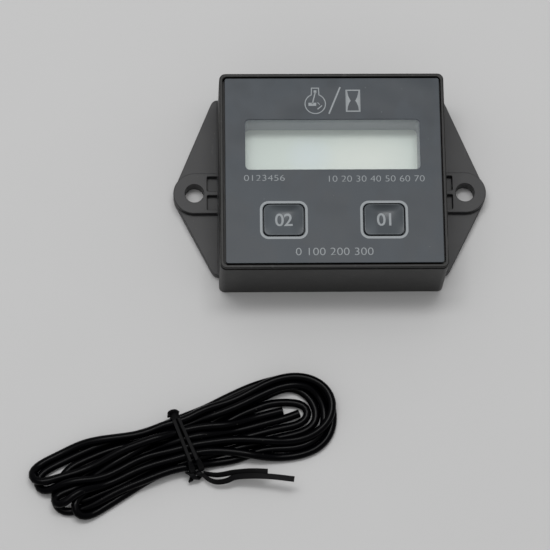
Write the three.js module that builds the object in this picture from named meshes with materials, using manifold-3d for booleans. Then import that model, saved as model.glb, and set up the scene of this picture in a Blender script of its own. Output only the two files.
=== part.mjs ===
// Engine hour meter with its pickup lead, in millimetres, +Z up out of the display.
// Origin: centre of the case's mounting face. +X runs to the right of the display, +Y to its top.

import * as THREE from 'three';
import { mergeVertices } from 'three/addons/utils/BufferGeometryUtils.js';
import Module from 'manifold-3d';

const wasm = await Module();
wasm.setup();

// Case
const CASE_WIDTH = 51.8;
const CASE_LENGTH = 46.6;
const CASE_HEIGHT = 20;
const CASE_CORNER_RADIUS = 1.4;
const BASE_FLARE = 0.25;
const WALL = 1.8;
const FRONT_WALL = 2;
const CAVITY_CORNER_RADIUS = 0.6;
const SHOULDER_INSET = 0.2;
const SHOULDER_DROP = 1.15;
const GROOVE_HEIGHT = 0.35;
const GROOVE_DEPTH = 0.3;
const LIP_WIDTH = 0.75;
const LIP_ROUND = 0.2;
const LIP_RISE = 0.6;
const SOUTH_LEDGE_RISE = 2.2;

// Rear cover with its two wings and ears
const EAR_REACH = 5.85;
const HOLE_DIAMETER = 4.4;
const HOLE_LINE_DROP = 0.54;
const COVER_THICKNESS = 2.6;
const EAR_RADIUS = 4.95;
const EAR_HEIGHT = 4.1;
const EAR_EDGE_CHAMFER = 0.15;
const WING_NORTH_INSET = 0.45;
const WING_SOUTH_INSET = 3.45;
const WING_END_WIDTH = 1.15;
const WING_END_ROUND = 1.4;
const POCKET_LENGTH = 2.35;
const POCKET_WIDTH = 3.58;
const POCKET_RIB = 1;
const WALL_LINE_WIDTH = 0.3;
const WALL_LINE_DEPTH = 0.4;
const TONGUE_WIDTH = 1.1;
const TONGUE_HEIGHT = 1.2;
const GASKET_WIDTH = 0.9;
const GASKET_HEIGHT = 0.8;

// Display
const WINDOW_SIDE_MARGIN = 5.8;
const WINDOW_LENGTH = 12.1;
const WINDOW_RISE_SHARE = 0.1331;
const WINDOW_CORNER_RADIUS = 1.1;
const OVERLAY_THICKNESS = 0.25;
const OVERLAY_GAP = 0.35;
const LENS_THICKNESS = 1;
const LENS_MARGIN = 1.5;
const GLASS_THICKNESS = 0.9;
const GLASS_LEDGE = 2.1;
const REFLECTOR_THICKNESS = 0.3;
const REFLECTOR_INSET = 0.5;
const STRIP_HEIGHT = 2.2;
const STRIP_WIDTH = 1.5;
const STRIP_INSET = 0.2;
const FRAME_SKIRT = 1;
const FRAME_PLATE = 1.2;
const WELL_LEDGE_WIDTH = 0.8;
const WELL_LEDGE_HEIGHT = 0.5;

// Keys and the switches beneath them
const KEY_SPACING = 22.86;
const KEY_DROP_SHARE = 0.2554;
const KEY_OPENING_WIDTH = 9.55;
const KEY_OPENING_LENGTH = 7.75;
const KEY_OPENING_RADIUS = 1.5;
const KEY_GAP = 0.3;
const KEY_RISE = 0.25;
const KEY_DISH_DEPTH = 0.6;
const KEY_EDGE = 0.35;
const KEY_FLANGE_LIP = 1;
const KEY_FLANGE_THICKNESS = 1;
const KEY_STEM_HALF = 2;
const KEY_STEM_CORNER = 0.8;
const KEY_TRAVEL = 0.5;
const SWITCH_WIDTH = 6;
const SWITCH_HEIGHT = 3.5;
const SWITCH_CORNER_RADIUS = 0.5;
const PLUNGER_RADIUS = 1.7;
const PLUNGER_RISE_SHARE = 0.385;
const PLUNGER_DEPTH = 1.9;

// Circuit board and what it carries
const BOARD_THICKNESS = 1.6;
const CELL_DIAMETER = 20;
const CELL_THICKNESS = 3.2;
const CELL_STEP = 1.1;
const CELL_STEP_HEIGHT = 0.6;
const HOLDER_WALL = 1.1;
const HOLDER_FLOOR = 0.6;
const HOLDER_SHORTFALL = 0.8;
const HOLDER_NOTCH_WIDTH = 7;
const CLIP_THICKNESS = 0.4;
const CLIP_WIDTH = 5;
const CLIP_CLEARANCE = 0.6;
const CHIP_WIDTH = 9;
const CHIP_HEIGHT = 1.6;
const CRYSTAL_LENGTH = 8;
const CRYSTAL_WIDTH = 3;
const CRYSTAL_HEIGHT = 2.4;
const CAPACITOR_RADIUS = 2;
const CAPACITOR_HEIGHT = 3.2;
const RESISTOR_LENGTH = 3.2;
const RESISTOR_WIDTH = 1.6;
const RESISTOR_HEIGHT = 0.7;
const TERMINAL_WIDTH = 5;
const TERMINAL_LENGTH = 5.6;
const TERMINAL_HEIGHT = 3.9;

// Screws
const COVER_SCREW_RADIUS = 1;
const COVER_SCREW_LENGTH = 7.5;
const COVER_HEAD_RADIUS = 1.9;
const COVER_HEAD_HEIGHT = 1.1;
const COVER_HEAD_SINK = 0.3;
const BOARD_SCREW_RADIUS = 0.8;
const BOARD_SCREW_LENGTH = 5;
const BOARD_HEAD_RADIUS = 1.6;
const BOARD_HEAD_HEIGHT = 1.2;
const HEAD_ROUND = 0.3;
const POST_RADIUS = 2.6;
const PILLAR_RADIUS = 2;
const TERMINAL_SCREW_RADIUS = 0.9;

// Lead inlet in the top wall, with its rubber bush
const INLET_RADIUS = 1.9;
const INLET_REBATE_RADIUS = 2.4;
const INLET_REBATE_DEPTH = 0.9;
const INLET_RISE = 2.75;

// Pickup lead, tied in a hank that lies beside the meter
const LEAD_DIAMETER = 1.9;
const LEAD_BORE_CLEARANCE = 0.2;
const HANK_PITCH = 2.5;
const HANK_CENTRE_X = -34.4;
const HANK_CENTRE_Y = -59.7;
const HANK_TURN_DEGREES = 16.5;
const HANK_RIGHT_REACH = 36.5;
const HANK_LEFT_REACH = 35.8;
const HANK_RIGHT_BEND = 10.4;
const HANK_LEFT_BEND = 10;
const HANK_RIGHT_BOW = 1.5;
const HANK_LEFT_SPLAY = 2.2;
const HANK_LEFT_STAGGER = 3;
const HANK_TURNS = 5.5;
const HANK_START = 0.14;
const HANK_END = 5.3;
const CLIMB_START = 2.63;
const CLIMB_END = 2.75;
const LIFT_REACH = 14;
const SHIFT_REACH_SHARE = 0.8;

// Twist tie round the hank's waist
const TIE_WIDTH = 1.8;
const TIE_THICKNESS = 0.5;
const TIE_GAP = 0.3;
const TIE_KNOT_LENGTH = 4.4;
const TIE_KNOT_RADIUS = 1.2;
const TIE_TAIL_LENGTHS = [22, 14];
const TIE_TAIL_TURNS_DEGREES = [-17, -8];

// Clearances, and the overlap and overrun that joins and cuts use
const SLIDE_CLEARANCE = 0.3;
const FIT_CLEARANCE = 0.15;
const WELD = 0.2;
const OVERRUN = 1;
const CORNER_STEPS = 5;
const ROUND_SIDES = 32;
const SMALL_ROUND_SIDES = 20;
const LOOP_STEPS = 24;
const LEAD_SIDES = 6;

// Plan sizes worked out from the case
const rimHalfX = CASE_WIDTH / 2;
const rimHalfY = CASE_LENGTH / 2;
const baseHalfX = rimHalfX + BASE_FLARE;
const baseHalfY = rimHalfY + BASE_FLARE;
const cavityHalfX = rimHalfX - WALL;
const cavityHalfY = rimHalfY - WALL;
const wingNorth = baseHalfY - WING_NORTH_INSET;
const wingSouth = -baseHalfY + WING_SOUTH_INSET;
const mouthSouth = wingSouth + (wingNorth - cavityHalfY);
const postX = cavityHalfX - POST_RADIUS + WELD;
const postNorth = cavityHalfY - POST_RADIUS + WELD;
const postSouth = mouthSouth + POST_RADIUS - WELD;
const holeX = rimHalfX + EAR_REACH;
const holeY = -HOLE_LINE_DROP;
const keyX = KEY_SPACING / 2;
const keyY = -CASE_LENGTH * KEY_DROP_SHARE;

// Heights, from the mounting face up to the board and from the display face down to the lens
const clipBottom = COVER_THICKNESS + CLIP_CLEARANCE;
const cellBottom = clipBottom + CLIP_THICKNESS;
const cellTop = cellBottom + CELL_THICKNESS;
const boardBottom = cellTop + HOLDER_FLOOR;
const boardTop = boardBottom + BOARD_THICKNESS;
const ledgeBottom = boardTop + STRIP_HEIGHT;
const glassTop = ledgeBottom + GLASS_THICKNESS;
const faceSeat = CASE_HEIGHT - LIP_RISE;
const overlayTop = faceSeat + OVERLAY_THICKNESS;
const lensBottom = faceSeat - LENS_THICKNESS;
const cavityTop = faceSeat - FRONT_WALL;
const switchTop = boardTop + SWITCH_HEIGHT;
const flangeBottom = cavityTop - KEY_FLANGE_THICKNESS;
const plungerTop = switchTop + (flangeBottom - switchTop) * PLUNGER_RISE_SHARE;
const plungerBottom = switchTop - PLUNGER_DEPTH;

// Display places
const windowY = CASE_LENGTH * WINDOW_RISE_SHARE;
const windowHalfX = rimHalfX - WINDOW_SIDE_MARGIN;
const windowHalfY = WINDOW_LENGTH / 2;
const frameNorth = postNorth - POST_RADIUS - SLIDE_CLEARANCE;
const pocketNorth = frameNorth - FRAME_SKIRT;
const glassNorth = pocketNorth - FIT_CLEARANCE;
const glassSouth = 2 * windowY - glassNorth;
const pocketSouth = glassSouth - FIT_CLEARANCE;
const frameSouth = pocketSouth - FRAME_SKIRT;
const frameHalfX = cavityHalfX - SLIDE_CLEARANCE;
const pocketHalfX = frameHalfX - FRAME_SKIRT;
const glassHalfX = pocketHalfX - FIT_CLEARANCE;
const lensHalfX = windowHalfX + LENS_MARGIN;
const lensHalfY = windowHalfY + LENS_MARGIN;

// Cell place, clear of the cover's tongue on the right
const tongueInner = cavityHalfX - FIT_CLEARANCE - TONGUE_WIDTH;
const clipReach = CELL_DIAMETER / 2 + FIT_CLEARANCE * 2 + HOLDER_WALL + CLIP_THICKNESS;
const cellX = tongueInner - SLIDE_CLEARANCE - clipReach;
const cellY = windowY - WINDOW_LENGTH / 4;

// Colours and finishes
const blackPlastic = { color: 0x2a2b2c, roughness: 0.55, metalness: 0 };
const filmPlastic = { color: 0x2f3337, roughness: 0.3, metalness: 0 };
const greyPlastic = { color: 0x8c9094, roughness: 0.6, metalness: 0 };
const clearPlastic = { color: 0xd8e0e0, roughness: 0.05, metalness: 0, transparent: true, opacity: 0.3 };
const displayGlass = { color: 0xbcc6bd, roughness: 0.1, metalness: 0 };
const silverFilm = { color: 0xc8cdc8, roughness: 0.4, metalness: 0.3 };
const rubber = { color: 0x1c1c1d, roughness: 0.8, metalness: 0 };
const boardGreen = { color: 0x1f5a35, roughness: 0.5, metalness: 0 };
const steel = { color: 0xb4b6b8, roughness: 0.3, metalness: 1 };
const brass = { color: 0xb5985a, roughness: 0.35, metalness: 1 };
const componentBlack = { color: 0x191919, roughness: 0.6, metalness: 0 };
const componentTan = { color: 0x9a7b55, roughness: 0.6, metalness: 0 };
const leadPlastic = { color: 0x0d0d0e, roughness: 0.3, metalness: 0 };

const meter = new THREE.Group();
meter.name = 'engine_hour_meter';

// Adds one named piece, with its own material, to the meter.
function addPiece(name, geometry, finish) {
  const piece = new THREE.Mesh(geometry, new THREE.MeshStandardMaterial(finish));
  piece.name = name;
  meter.add(piece);
}

// A rounded rectangle as a ring of points at one height, anticlockwise from above.
function roundedRing(halfX, halfY, radius, z, centreX = 0, centreY = 0) {
  const bend = Math.min(radius, halfX, halfY);
  const ring = [];
  for (let corner = 0; corner < 4; corner += 1) {
    const signX = corner === 0 || corner === 3 ? 1 : -1;
    const signY = corner < 2 ? 1 : -1;
    for (let step = 0; step <= CORNER_STEPS; step += 1) {
      const angle = (corner + step / CORNER_STEPS) * Math.PI / 2;
      const x = centreX + signX * (halfX - bend) + bend * Math.cos(angle);
      const y = centreY + signY * (halfY - bend) + bend * Math.sin(angle);
      ring.push(new THREE.Vector3(x, y, z));
    }
  }
  return ring;
}

// Joins a stack of rings, from the first to the last, into one closed body.
function loft(rings) {
  const count = rings[0].length;
  const positions = rings.flat().flatMap((point) => [point.x, point.y, point.z]);
  const index = [];
  for (let level = 0; level + 1 < rings.length; level += 1) {
    for (let side = 0; side < count; side += 1) {
      const here = level * count + side;
      const next = level * count + (side + 1) % count;
      index.push(here, next, next + count);
      index.push(here, next + count, here + count);
    }
  }
  const last = (rings.length - 1) * count;
  for (let side = 1; side + 1 < count; side += 1) {
    index.push(0, side + 1, side);
    index.push(last, last + side, last + side + 1);
  }
  const geometry = new THREE.BufferGeometry();
  geometry.setAttribute('position', new THREE.Float32BufferAttribute(positions, 3));
  geometry.setIndex(index);
  geometry.computeVertexNormals();
  return geometry;
}

// A block between two corners, given in either order.
function block(x0, x1, y0, y1, z0, z1) {
  const geometry = new THREE.BoxGeometry(Math.abs(x1 - x0), Math.abs(y1 - y0), Math.abs(z1 - z0));
  geometry.translate((x0 + x1) / 2, (y0 + y1) / 2, (z0 + z1) / 2);
  return geometry;
}

// A round bar standing along Z.
function roundBar(radius, z0, z1, x, y, sides = ROUND_SIDES) {
  const geometry = new THREE.CylinderGeometry(radius, radius, z1 - z0, sides);
  geometry.rotateX(Math.PI / 2);
  geometry.translate(x, y, (z0 + z1) / 2);
  return geometry;
}

// A round bar lying along Y.
function lyingBar(radius, y0, y1, x, z, sides = ROUND_SIDES) {
  const geometry = new THREE.CylinderGeometry(radius, radius, y1 - y0, sides);
  geometry.translate(x, (y0 + y1) / 2, z);
  return geometry;
}

// A turned piece from a closed profile of radius and height pairs.
function turned(profile, x, y, sides = SMALL_ROUND_SIDES) {
  const points = profile.map(([radius, height]) => new THREE.Vector2(radius, height));
  const geometry = new THREE.LatheGeometry(points, sides);
  geometry.rotateX(Math.PI / 2);
  geometry.translate(x, y, 0);
  return geometry;
}

// Turns a closed geometry into a solid for joining and cutting.
function solid(geometry) {
  const bare = geometry.clone();
  bare.deleteAttribute('normal');
  bare.deleteAttribute('uv');
  const merged = mergeVertices(bare);
  const vertProperties = new Float32Array(merged.attributes.position.array);
  const triVerts = new Uint32Array(merged.index.array);
  return new wasm.Manifold(new wasm.Mesh({ numProp: 3, vertProperties, triVerts }));
}

// Turns a joined and cut solid back into a geometry.
function geometryOf(body) {
  const mesh = body.getMesh();
  const geometry = new THREE.BufferGeometry();
  geometry.setAttribute('position', new THREE.BufferAttribute(new Float32Array(mesh.vertProperties), 3));
  geometry.setIndex(new THREE.BufferAttribute(new Uint32Array(mesh.triVerts), 1));
  geometry.computeVertexNormals();
  return geometry;
}

// Joins the first list of geometries and cuts the second list out of them.
function joinAndCut(joined, cuts) {
  const whole = joined.map(solid).reduce((sum, next) => sum.add(next));
  return geometryOf(cuts.map(solid).reduce((rest, cut) => rest.subtract(cut), whole));
}

// The same thing on both sides of the meter, for the signs -1 and 1.
function bothSides(make) {
  return [-1, 1].map(make);
}

const postPlaces = [postNorth, postSouth].flatMap((y) => bothSides((side) => [side * postX, y]));
const pillarX = cavityHalfX - PILLAR_RADIUS - SLIDE_CLEARANCE;
const pillarSouth = frameSouth - PILLAR_RADIUS - SLIDE_CLEARANCE;
const pillarPlaces = bothSides((side) => [side * pillarX, pillarSouth]);
pillarPlaces.push([0, frameNorth + PILLAR_RADIUS + SLIDE_CLEARANCE]);

const inletX = -KEY_SPACING / 2;
const inletZ = COVER_THICKNESS + INLET_RISE;

// Case shell: a five-sided moulding, open at the back, with drafted walls and a lip round its face.
function makeCaseShell() {
  const shoulderZ = CASE_HEIGHT - SHOULDER_DROP;
  const lipBottom = shoulderZ + GROOVE_HEIGHT;
  const shoulderX = baseHalfX - SHOULDER_INSET;
  const shoulderY = baseHalfY - SHOULDER_INSET;
  const grooveX = rimHalfX - GROOVE_DEPTH;
  const grooveY = rimHalfY - GROOVE_DEPTH;
  const grooveRadius = CASE_CORNER_RADIUS - GROOVE_DEPTH;
  const outside = loft([
    roundedRing(baseHalfX, baseHalfY, CASE_CORNER_RADIUS, 0),
    roundedRing(shoulderX, shoulderY, CASE_CORNER_RADIUS, shoulderZ),
    roundedRing(grooveX, grooveY, grooveRadius, shoulderZ),
    roundedRing(grooveX, grooveY, grooveRadius, lipBottom),
    roundedRing(rimHalfX, rimHalfY, CASE_CORNER_RADIUS, lipBottom),
    roundedRing(rimHalfX, rimHalfY, CASE_CORNER_RADIUS, CASE_HEIGHT - LIP_ROUND),
    roundedRing(rimHalfX - LIP_ROUND, rimHalfY - LIP_ROUND, CASE_CORNER_RADIUS - LIP_ROUND, CASE_HEIGHT),
  ]);
  const ledgeTop = COVER_THICKNESS + SOUTH_LEDGE_RISE;
  const cavity = loft([
    roundedRing(cavityHalfX, cavityHalfY, CAVITY_CORNER_RADIUS, ledgeTop),
    roundedRing(cavityHalfX, cavityHalfY, CAVITY_CORNER_RADIUS, cavityTop),
  ]);
  const mouth = block(-cavityHalfX, cavityHalfX, mouthSouth, cavityHalfY, -OVERRUN, ledgeTop + WELD);
  const coverSpace = block(
    -baseHalfX - OVERRUN, baseHalfX + OVERRUN,
    wingSouth - SLIDE_CLEARANCE, baseHalfY + OVERRUN,
    -OVERRUN, COVER_THICKNESS,
  );
  const recessX = rimHalfX - LIP_WIDTH;
  const recessY = rimHalfY - LIP_WIDTH;
  const recessRadius = CASE_CORNER_RADIUS - LIP_WIDTH / 2;
  const recess = loft([
    roundedRing(recessX, recessY, recessRadius, faceSeat),
    roundedRing(recessX, recessY, recessRadius, CASE_HEIGHT + OVERRUN),
  ]);
  const windowCut = block(
    -lensHalfX - FIT_CLEARANCE, lensHalfX + FIT_CLEARANCE,
    windowY - lensHalfY - FIT_CLEARANCE, windowY + lensHalfY + FIT_CLEARANCE,
    cavityTop - OVERRUN, CASE_HEIGHT + OVERRUN,
  );
  const keyCuts = bothSides((side) => keyColumn(side, KEY_OPENING_WIDTH / 2, KEY_OPENING_LENGTH / 2,
    KEY_OPENING_RADIUS, cavityTop - OVERRUN, CASE_HEIGHT + OVERRUN));
  const posts = postPlaces.map(([x, y]) => roundBar(POST_RADIUS, COVER_THICKNESS, cavityTop + WELD, x, y));
  const pillars = pillarPlaces.map(([x, y]) => roundBar(PILLAR_RADIUS, boardTop, cavityTop + WELD, x, y));
  const postHoles = postPlaces.map(([x, y]) => roundBar(COVER_SCREW_RADIUS + FIT_CLEARANCE, -OVERRUN,
    COVER_THICKNESS + COVER_SCREW_LENGTH, x, y, SMALL_ROUND_SIDES));
  const pillarHoles = pillarPlaces.map(([x, y]) => roundBar(BOARD_SCREW_RADIUS + FIT_CLEARANCE, boardBottom,
    boardTop + BOARD_SCREW_LENGTH, x, y, SMALL_ROUND_SIDES));
  const inletCuts = [
    lyingBar(INLET_RADIUS, cavityHalfY - OVERRUN, baseHalfY + OVERRUN, inletX, inletZ),
    lyingBar(INLET_REBATE_RADIUS, baseHalfY - INLET_REBATE_DEPTH, baseHalfY + OVERRUN, inletX, inletZ),
  ];
  const hollow = joinAndCut([outside], [cavity, mouth, coverSpace]);
  return joinAndCut(
    [hollow, ...posts, ...pillars],
    [recess, windowCut, ...keyCuts, ...postHoles, ...pillarHoles, ...inletCuts],
  );
}

// A rounded column over one key's place, from one height to another.
function keyColumn(side, halfX, halfY, radius, z0, z1) {
  return loft([
    roundedRing(halfX, halfY, radius, z0, side * keyX, keyY),
    roundedRing(halfX, halfY, radius, z1, side * keyX, keyY),
  ]);
}

// Face overlay: a printed film with a window and two key openings.
function makeOverlay() {
  const halfX = rimHalfX - LIP_WIDTH - OVERLAY_GAP;
  const halfY = rimHalfY - LIP_WIDTH - OVERLAY_GAP;
  const radius = CASE_CORNER_RADIUS - OVERLAY_GAP;
  const film = loft([
    roundedRing(halfX, halfY, radius, faceSeat),
    roundedRing(halfX, halfY, radius, overlayTop),
  ]);
  const low = faceSeat - OVERRUN;
  const high = overlayTop + OVERRUN;
  const windowCut = loft([
    roundedRing(windowHalfX, windowHalfY, WINDOW_CORNER_RADIUS, low, 0, windowY),
    roundedRing(windowHalfX, windowHalfY, WINDOW_CORNER_RADIUS, high, 0, windowY),
  ]);
  const keyCuts = bothSides((side) => keyColumn(side, KEY_OPENING_WIDTH / 2, KEY_OPENING_LENGTH / 2,
    KEY_OPENING_RADIUS, low, high));
  return joinAndCut([film], [windowCut, ...keyCuts]);
}

// Display frame: walls from the lens down to a ledge round the glass, a plate, and a skirt on the board.
function makeDisplayFrame() {
  const plateTop = glassTop + FRAME_PLATE;
  const ledgeTop = glassTop + WELL_LEDGE_HEIGHT;
  const plate = block(-frameHalfX, frameHalfX, frameSouth, frameNorth, boardTop, plateTop);
  const neckBottom = plateTop - WELD;
  const neck = block(
    -lensHalfX, lensHalfX, windowY - lensHalfY, windowY + lensHalfY, neckBottom, lensBottom,
  );
  const well = loft([
    roundedRing(windowHalfX, windowHalfY, WINDOW_CORNER_RADIUS, ledgeTop, 0, windowY),
    roundedRing(windowHalfX, windowHalfY, WINDOW_CORNER_RADIUS, lensBottom + OVERRUN, 0, windowY),
  ]);
  const footX = windowHalfX - WELL_LEDGE_WIDTH;
  const footY = windowHalfY - WELL_LEDGE_WIDTH;
  const footRadius = WINDOW_CORNER_RADIUS / 2;
  const foot = loft([
    roundedRing(footX, footY, footRadius, boardTop, 0, windowY),
    roundedRing(footX, footY, footRadius, ledgeTop + WELD, 0, windowY),
  ]);
  const pocket = block(-pocketHalfX, pocketHalfX, pocketSouth, pocketNorth, boardTop - OVERRUN, glassTop);
  return joinAndCut([plate, neck], [well, foot, pocket]);
}

// A contact strip that joins one ledge of the glass to the board.
function makeContactStrip(side) {
  const ledgeEdge = side > 0 ? glassNorth : glassSouth;
  const outer = ledgeEdge - side * STRIP_INSET;
  const inner = outer - side * STRIP_WIDTH;
  return block(-windowHalfX, windowHalfX, outer, inner, boardTop, ledgeBottom);
}

// Circuit board: notched round the four posts, with a hole for each board screw.
function makeBoard() {
  const halfX = cavityHalfX - SLIDE_CLEARANCE;
  const south = mouthSouth + SLIDE_CLEARANCE;
  const north = cavityHalfY - SLIDE_CLEARANCE;
  const sheet = block(-halfX, halfX, south, north, boardBottom, boardTop);
  const reach = POST_RADIUS + SLIDE_CLEARANCE;
  const notches = postPlaces.map(([x, y]) => block(
    x < 0 ? -halfX - OVERRUN : x - reach, x < 0 ? x + reach : halfX + OVERRUN,
    y < 0 ? south - OVERRUN : y - reach, y < 0 ? y + reach : north + OVERRUN,
    boardBottom - OVERRUN, boardTop + OVERRUN,
  ));
  const holes = pillarPlaces.map(([x, y]) => roundBar(BOARD_SCREW_RADIUS + FIT_CLEARANCE,
    boardBottom - OVERRUN, boardTop + OVERRUN, x, y, SMALL_ROUND_SIDES));
  return joinAndCut([sheet], [...notches, ...holes]);
}

// Key: a dished cap on a flange that stops under the front wall, with a stem down to its switch.
function makeKey(side) {
  const x = side * keyX;
  const capX = KEY_OPENING_WIDTH / 2 - KEY_GAP;
  const capY = KEY_OPENING_LENGTH / 2 - KEY_GAP;
  const capRadius = KEY_OPENING_RADIUS - KEY_GAP;
  const flangeX = KEY_OPENING_WIDTH / 2 + KEY_FLANGE_LIP;
  const flangeY = KEY_OPENING_LENGTH / 2 + KEY_FLANGE_LIP;
  const flangeRadius = KEY_OPENING_RADIUS + KEY_FLANGE_LIP;
  const capTop = overlayTop + KEY_RISE;
  const dishShares = [[0.85, 0.45], [0.6, 0.8], [0.3, 0.97]];
  const dish = dishShares.map(([spread, depth]) => roundedRing(
    (capX - KEY_EDGE) * spread, (capY - KEY_EDGE) * spread, capRadius * spread,
    capTop - KEY_DISH_DEPTH * depth, x, keyY,
  ));
  return loft([
    roundedRing(KEY_STEM_HALF, KEY_STEM_HALF, KEY_STEM_CORNER, plungerTop, x, keyY),
    roundedRing(KEY_STEM_HALF, KEY_STEM_HALF, KEY_STEM_CORNER, flangeBottom, x, keyY),
    roundedRing(flangeX, flangeY, flangeRadius, flangeBottom, x, keyY),
    roundedRing(flangeX, flangeY, flangeRadius, cavityTop, x, keyY),
    roundedRing(capX, capY, capRadius, cavityTop, x, keyY),
    roundedRing(capX, capY, capRadius, capTop - KEY_EDGE / 2, x, keyY),
    roundedRing(capX - KEY_EDGE / 2, capY - KEY_EDGE / 2, capRadius, capTop, x, keyY),
    roundedRing(capX - KEY_EDGE, capY - KEY_EDGE, capRadius, capTop, x, keyY),
    ...dish,
  ]);
}

// Switch housing on the board, bored for its plunger.
function makeSwitchBody(side) {
  const half = SWITCH_WIDTH / 2;
  const housing = keyColumn(side, half, half, SWITCH_CORNER_RADIUS, boardTop, switchTop);
  const boreBottom = plungerBottom - KEY_TRAVEL - FIT_CLEARANCE;
  const bore = roundBar(PLUNGER_RADIUS + FIT_CLEARANCE, boreBottom, switchTop + OVERRUN, side * keyX, keyY);
  return joinAndCut([housing], [bore]);
}

// Coin cell: its can, and the narrower cap that faces the board.
function makeCell(x, y) {
  const radius = CELL_DIAMETER / 2;
  const stepZ = cellTop - CELL_STEP_HEIGHT;
  return turned([
    [0, cellBottom],
    [radius - HEAD_ROUND, cellBottom],
    [radius, cellBottom + HEAD_ROUND],
    [radius, stepZ],
    [radius - CELL_STEP, stepZ],
    [radius - CELL_STEP, cellTop],
    [0, cellTop],
  ], x, y, ROUND_SIDES);
}

// Cell holder: a floor against the board and a notched ring round the cell.
function makeHolder(x, y) {
  const outer = CELL_DIAMETER / 2 + FIT_CLEARANCE + HOLDER_WALL;
  const ring = roundBar(outer, cellBottom + HOLDER_SHORTFALL, boardBottom, x, y);
  const seat = roundBar(CELL_DIAMETER / 2 + FIT_CLEARANCE, cellBottom - OVERRUN, cellTop, x, y);
  const notch = block(
    x - HOLDER_NOTCH_WIDTH / 2, x + HOLDER_NOTCH_WIDTH / 2,
    y - outer - OVERRUN, y, cellBottom - OVERRUN, cellTop,
  );
  return joinAndCut([ring], [seat, notch]);
}

// Spring contact: a strip across the cell, with a leg down each side of the holder to the board.
function makeClip(x, y) {
  const half = CLIP_WIDTH / 2;
  const south = y - half;
  const north = y + half;
  const inner = clipReach - CLIP_THICKNESS;
  const strip = block(x - clipReach, x + clipReach, south, north, clipBottom, cellBottom);
  const legs = bothSides((side) => block(
    x + side * inner, x + side * clipReach, south, north, clipBottom, boardBottom,
  ));
  return joinAndCut([strip, ...legs], []);
}

// A part soldered under the board, with a little taper towards its outer face.
function underBoard(x, y, halfX, halfY, height) {
  return loft([
    roundedRing(halfX - WELD, halfY - WELD, WELD, boardBottom - height, x, y),
    roundedRing(halfX, halfY, WELD, boardBottom - height / 2, x, y),
    roundedRing(halfX, halfY, WELD, boardBottom, x, y),
  ]);
}

// A screw that stands along Z: head below, shank above.
function makeScrew(x, y, headBottom, headHeight, headRadius, shankRadius, shankLength) {
  const headTop = headBottom + headHeight;
  return turned([
    [0, headBottom],
    [headRadius - HEAD_ROUND, headBottom],
    [headRadius, headBottom + HEAD_ROUND],
    [headRadius, headTop],
    [shankRadius, headTop],
    [shankRadius, headTop + shankLength - shankRadius],
    [0, headTop + shankLength],
  ], x, y);
}

// Where the edge of a wing leaves its end and touches the round ear.
function tangentAngle(endX, endY, earX, turn) {
  const dx = endX - earX;
  const dy = endY - holeY;
  const spread = Math.acos(EAR_RADIUS / Math.hypot(dx, dy));
  return Math.atan2(dy, dx) + turn * spread;
}

// Where a wing's rounded end corner begins, on its way from the corner to the touching point on the ear.
function edgeStart(endX, endY, earX, angle) {
  const touching = new THREE.Vector2(Math.cos(angle), Math.sin(angle)).multiplyScalar(EAR_RADIUS);
  const corner = new THREE.Vector2(endX, endY);
  touching.add(new THREE.Vector2(earX, holeY));
  return touching.sub(corner).setLength(WING_END_ROUND).add(corner);
}

// Outline of the rear cover: two round ears, each with straight wing edges that touch it.
function coverOutline() {
  const endX = baseHalfX + WING_END_WIDTH;
  const flatX = endX - WING_END_ROUND;
  const northAngle = tangentAngle(endX, wingNorth, holeX, -1);
  const southAngle = tangentAngle(endX, wingSouth, holeX, 1);
  const north = edgeStart(endX, wingNorth, holeX, northAngle);
  const south = edgeStart(endX, wingSouth, holeX, southAngle);
  const outline = new THREE.Shape();
  outline.moveTo(-flatX, wingSouth);
  outline.lineTo(flatX, wingSouth);
  outline.quadraticCurveTo(endX, wingSouth, south.x, south.y);
  outline.absarc(holeX, holeY, EAR_RADIUS, southAngle, northAngle, false);
  outline.lineTo(north.x, north.y);
  outline.quadraticCurveTo(endX, wingNorth, flatX, wingNorth);
  outline.lineTo(-flatX, wingNorth);
  outline.quadraticCurveTo(-endX, wingNorth, -north.x, north.y);
  outline.absarc(-holeX, holeY, EAR_RADIUS, Math.PI - northAngle, Math.PI - southAngle, false);
  outline.lineTo(-south.x, south.y);
  outline.quadraticCurveTo(-endX, wingSouth, -flatX, wingSouth);
  outline.closePath();
  return outline;
}

// One ear's raised boss, from its round end to the case wall, with a small chamfer on its edge.
function makeEarBoss(side) {
  const inner = baseHalfX + WALL_LINE_WIDTH;
  const rings = [
    [0, COVER_THICKNESS - WELD],
    [0, EAR_HEIGHT - EAR_EDGE_CHAMFER],
    [EAR_EDGE_CHAMFER, EAR_HEIGHT],
  ];
  const half = ROUND_SIDES / 2;
  return loft(rings.map(([inset, z]) => {
    const radius = EAR_RADIUS - inset;
    const ring = [];
    for (let step = 0; step <= half; step += 1) {
      const angle = (side > 0 ? -Math.PI / 2 : Math.PI / 2) + step * Math.PI / half;
      const x = side * holeX + radius * Math.cos(angle);
      ring.push(new THREE.Vector3(x, holeY + radius * Math.sin(angle), z));
    }
    ring.push(new THREE.Vector3(side * inner, holeY + side * radius, z));
    ring.push(new THREE.Vector3(side * inner, holeY - side * radius, z));
    return ring;
  }));
}

// The frame-shaped run of the gasket, shared with the groove that holds it.
function gasketRun(z0, z1) {
  const midX = (cavityHalfX + baseHalfX) / 2;
  const midNorth = (cavityHalfY + wingNorth) / 2;
  const midSouth = (mouthSouth + wingSouth) / 2;
  const half = GASKET_WIDTH / 2;
  const outer = block(-midX - half, midX + half, midSouth - half, midNorth + half, z0, z1);
  const low = z0 - OVERRUN;
  const high = z1 + OVERRUN;
  const inner = block(-midX + half, midX - half, midSouth + half, midNorth - half, low, high);
  return joinAndCut([outer], [inner]);
}

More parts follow.
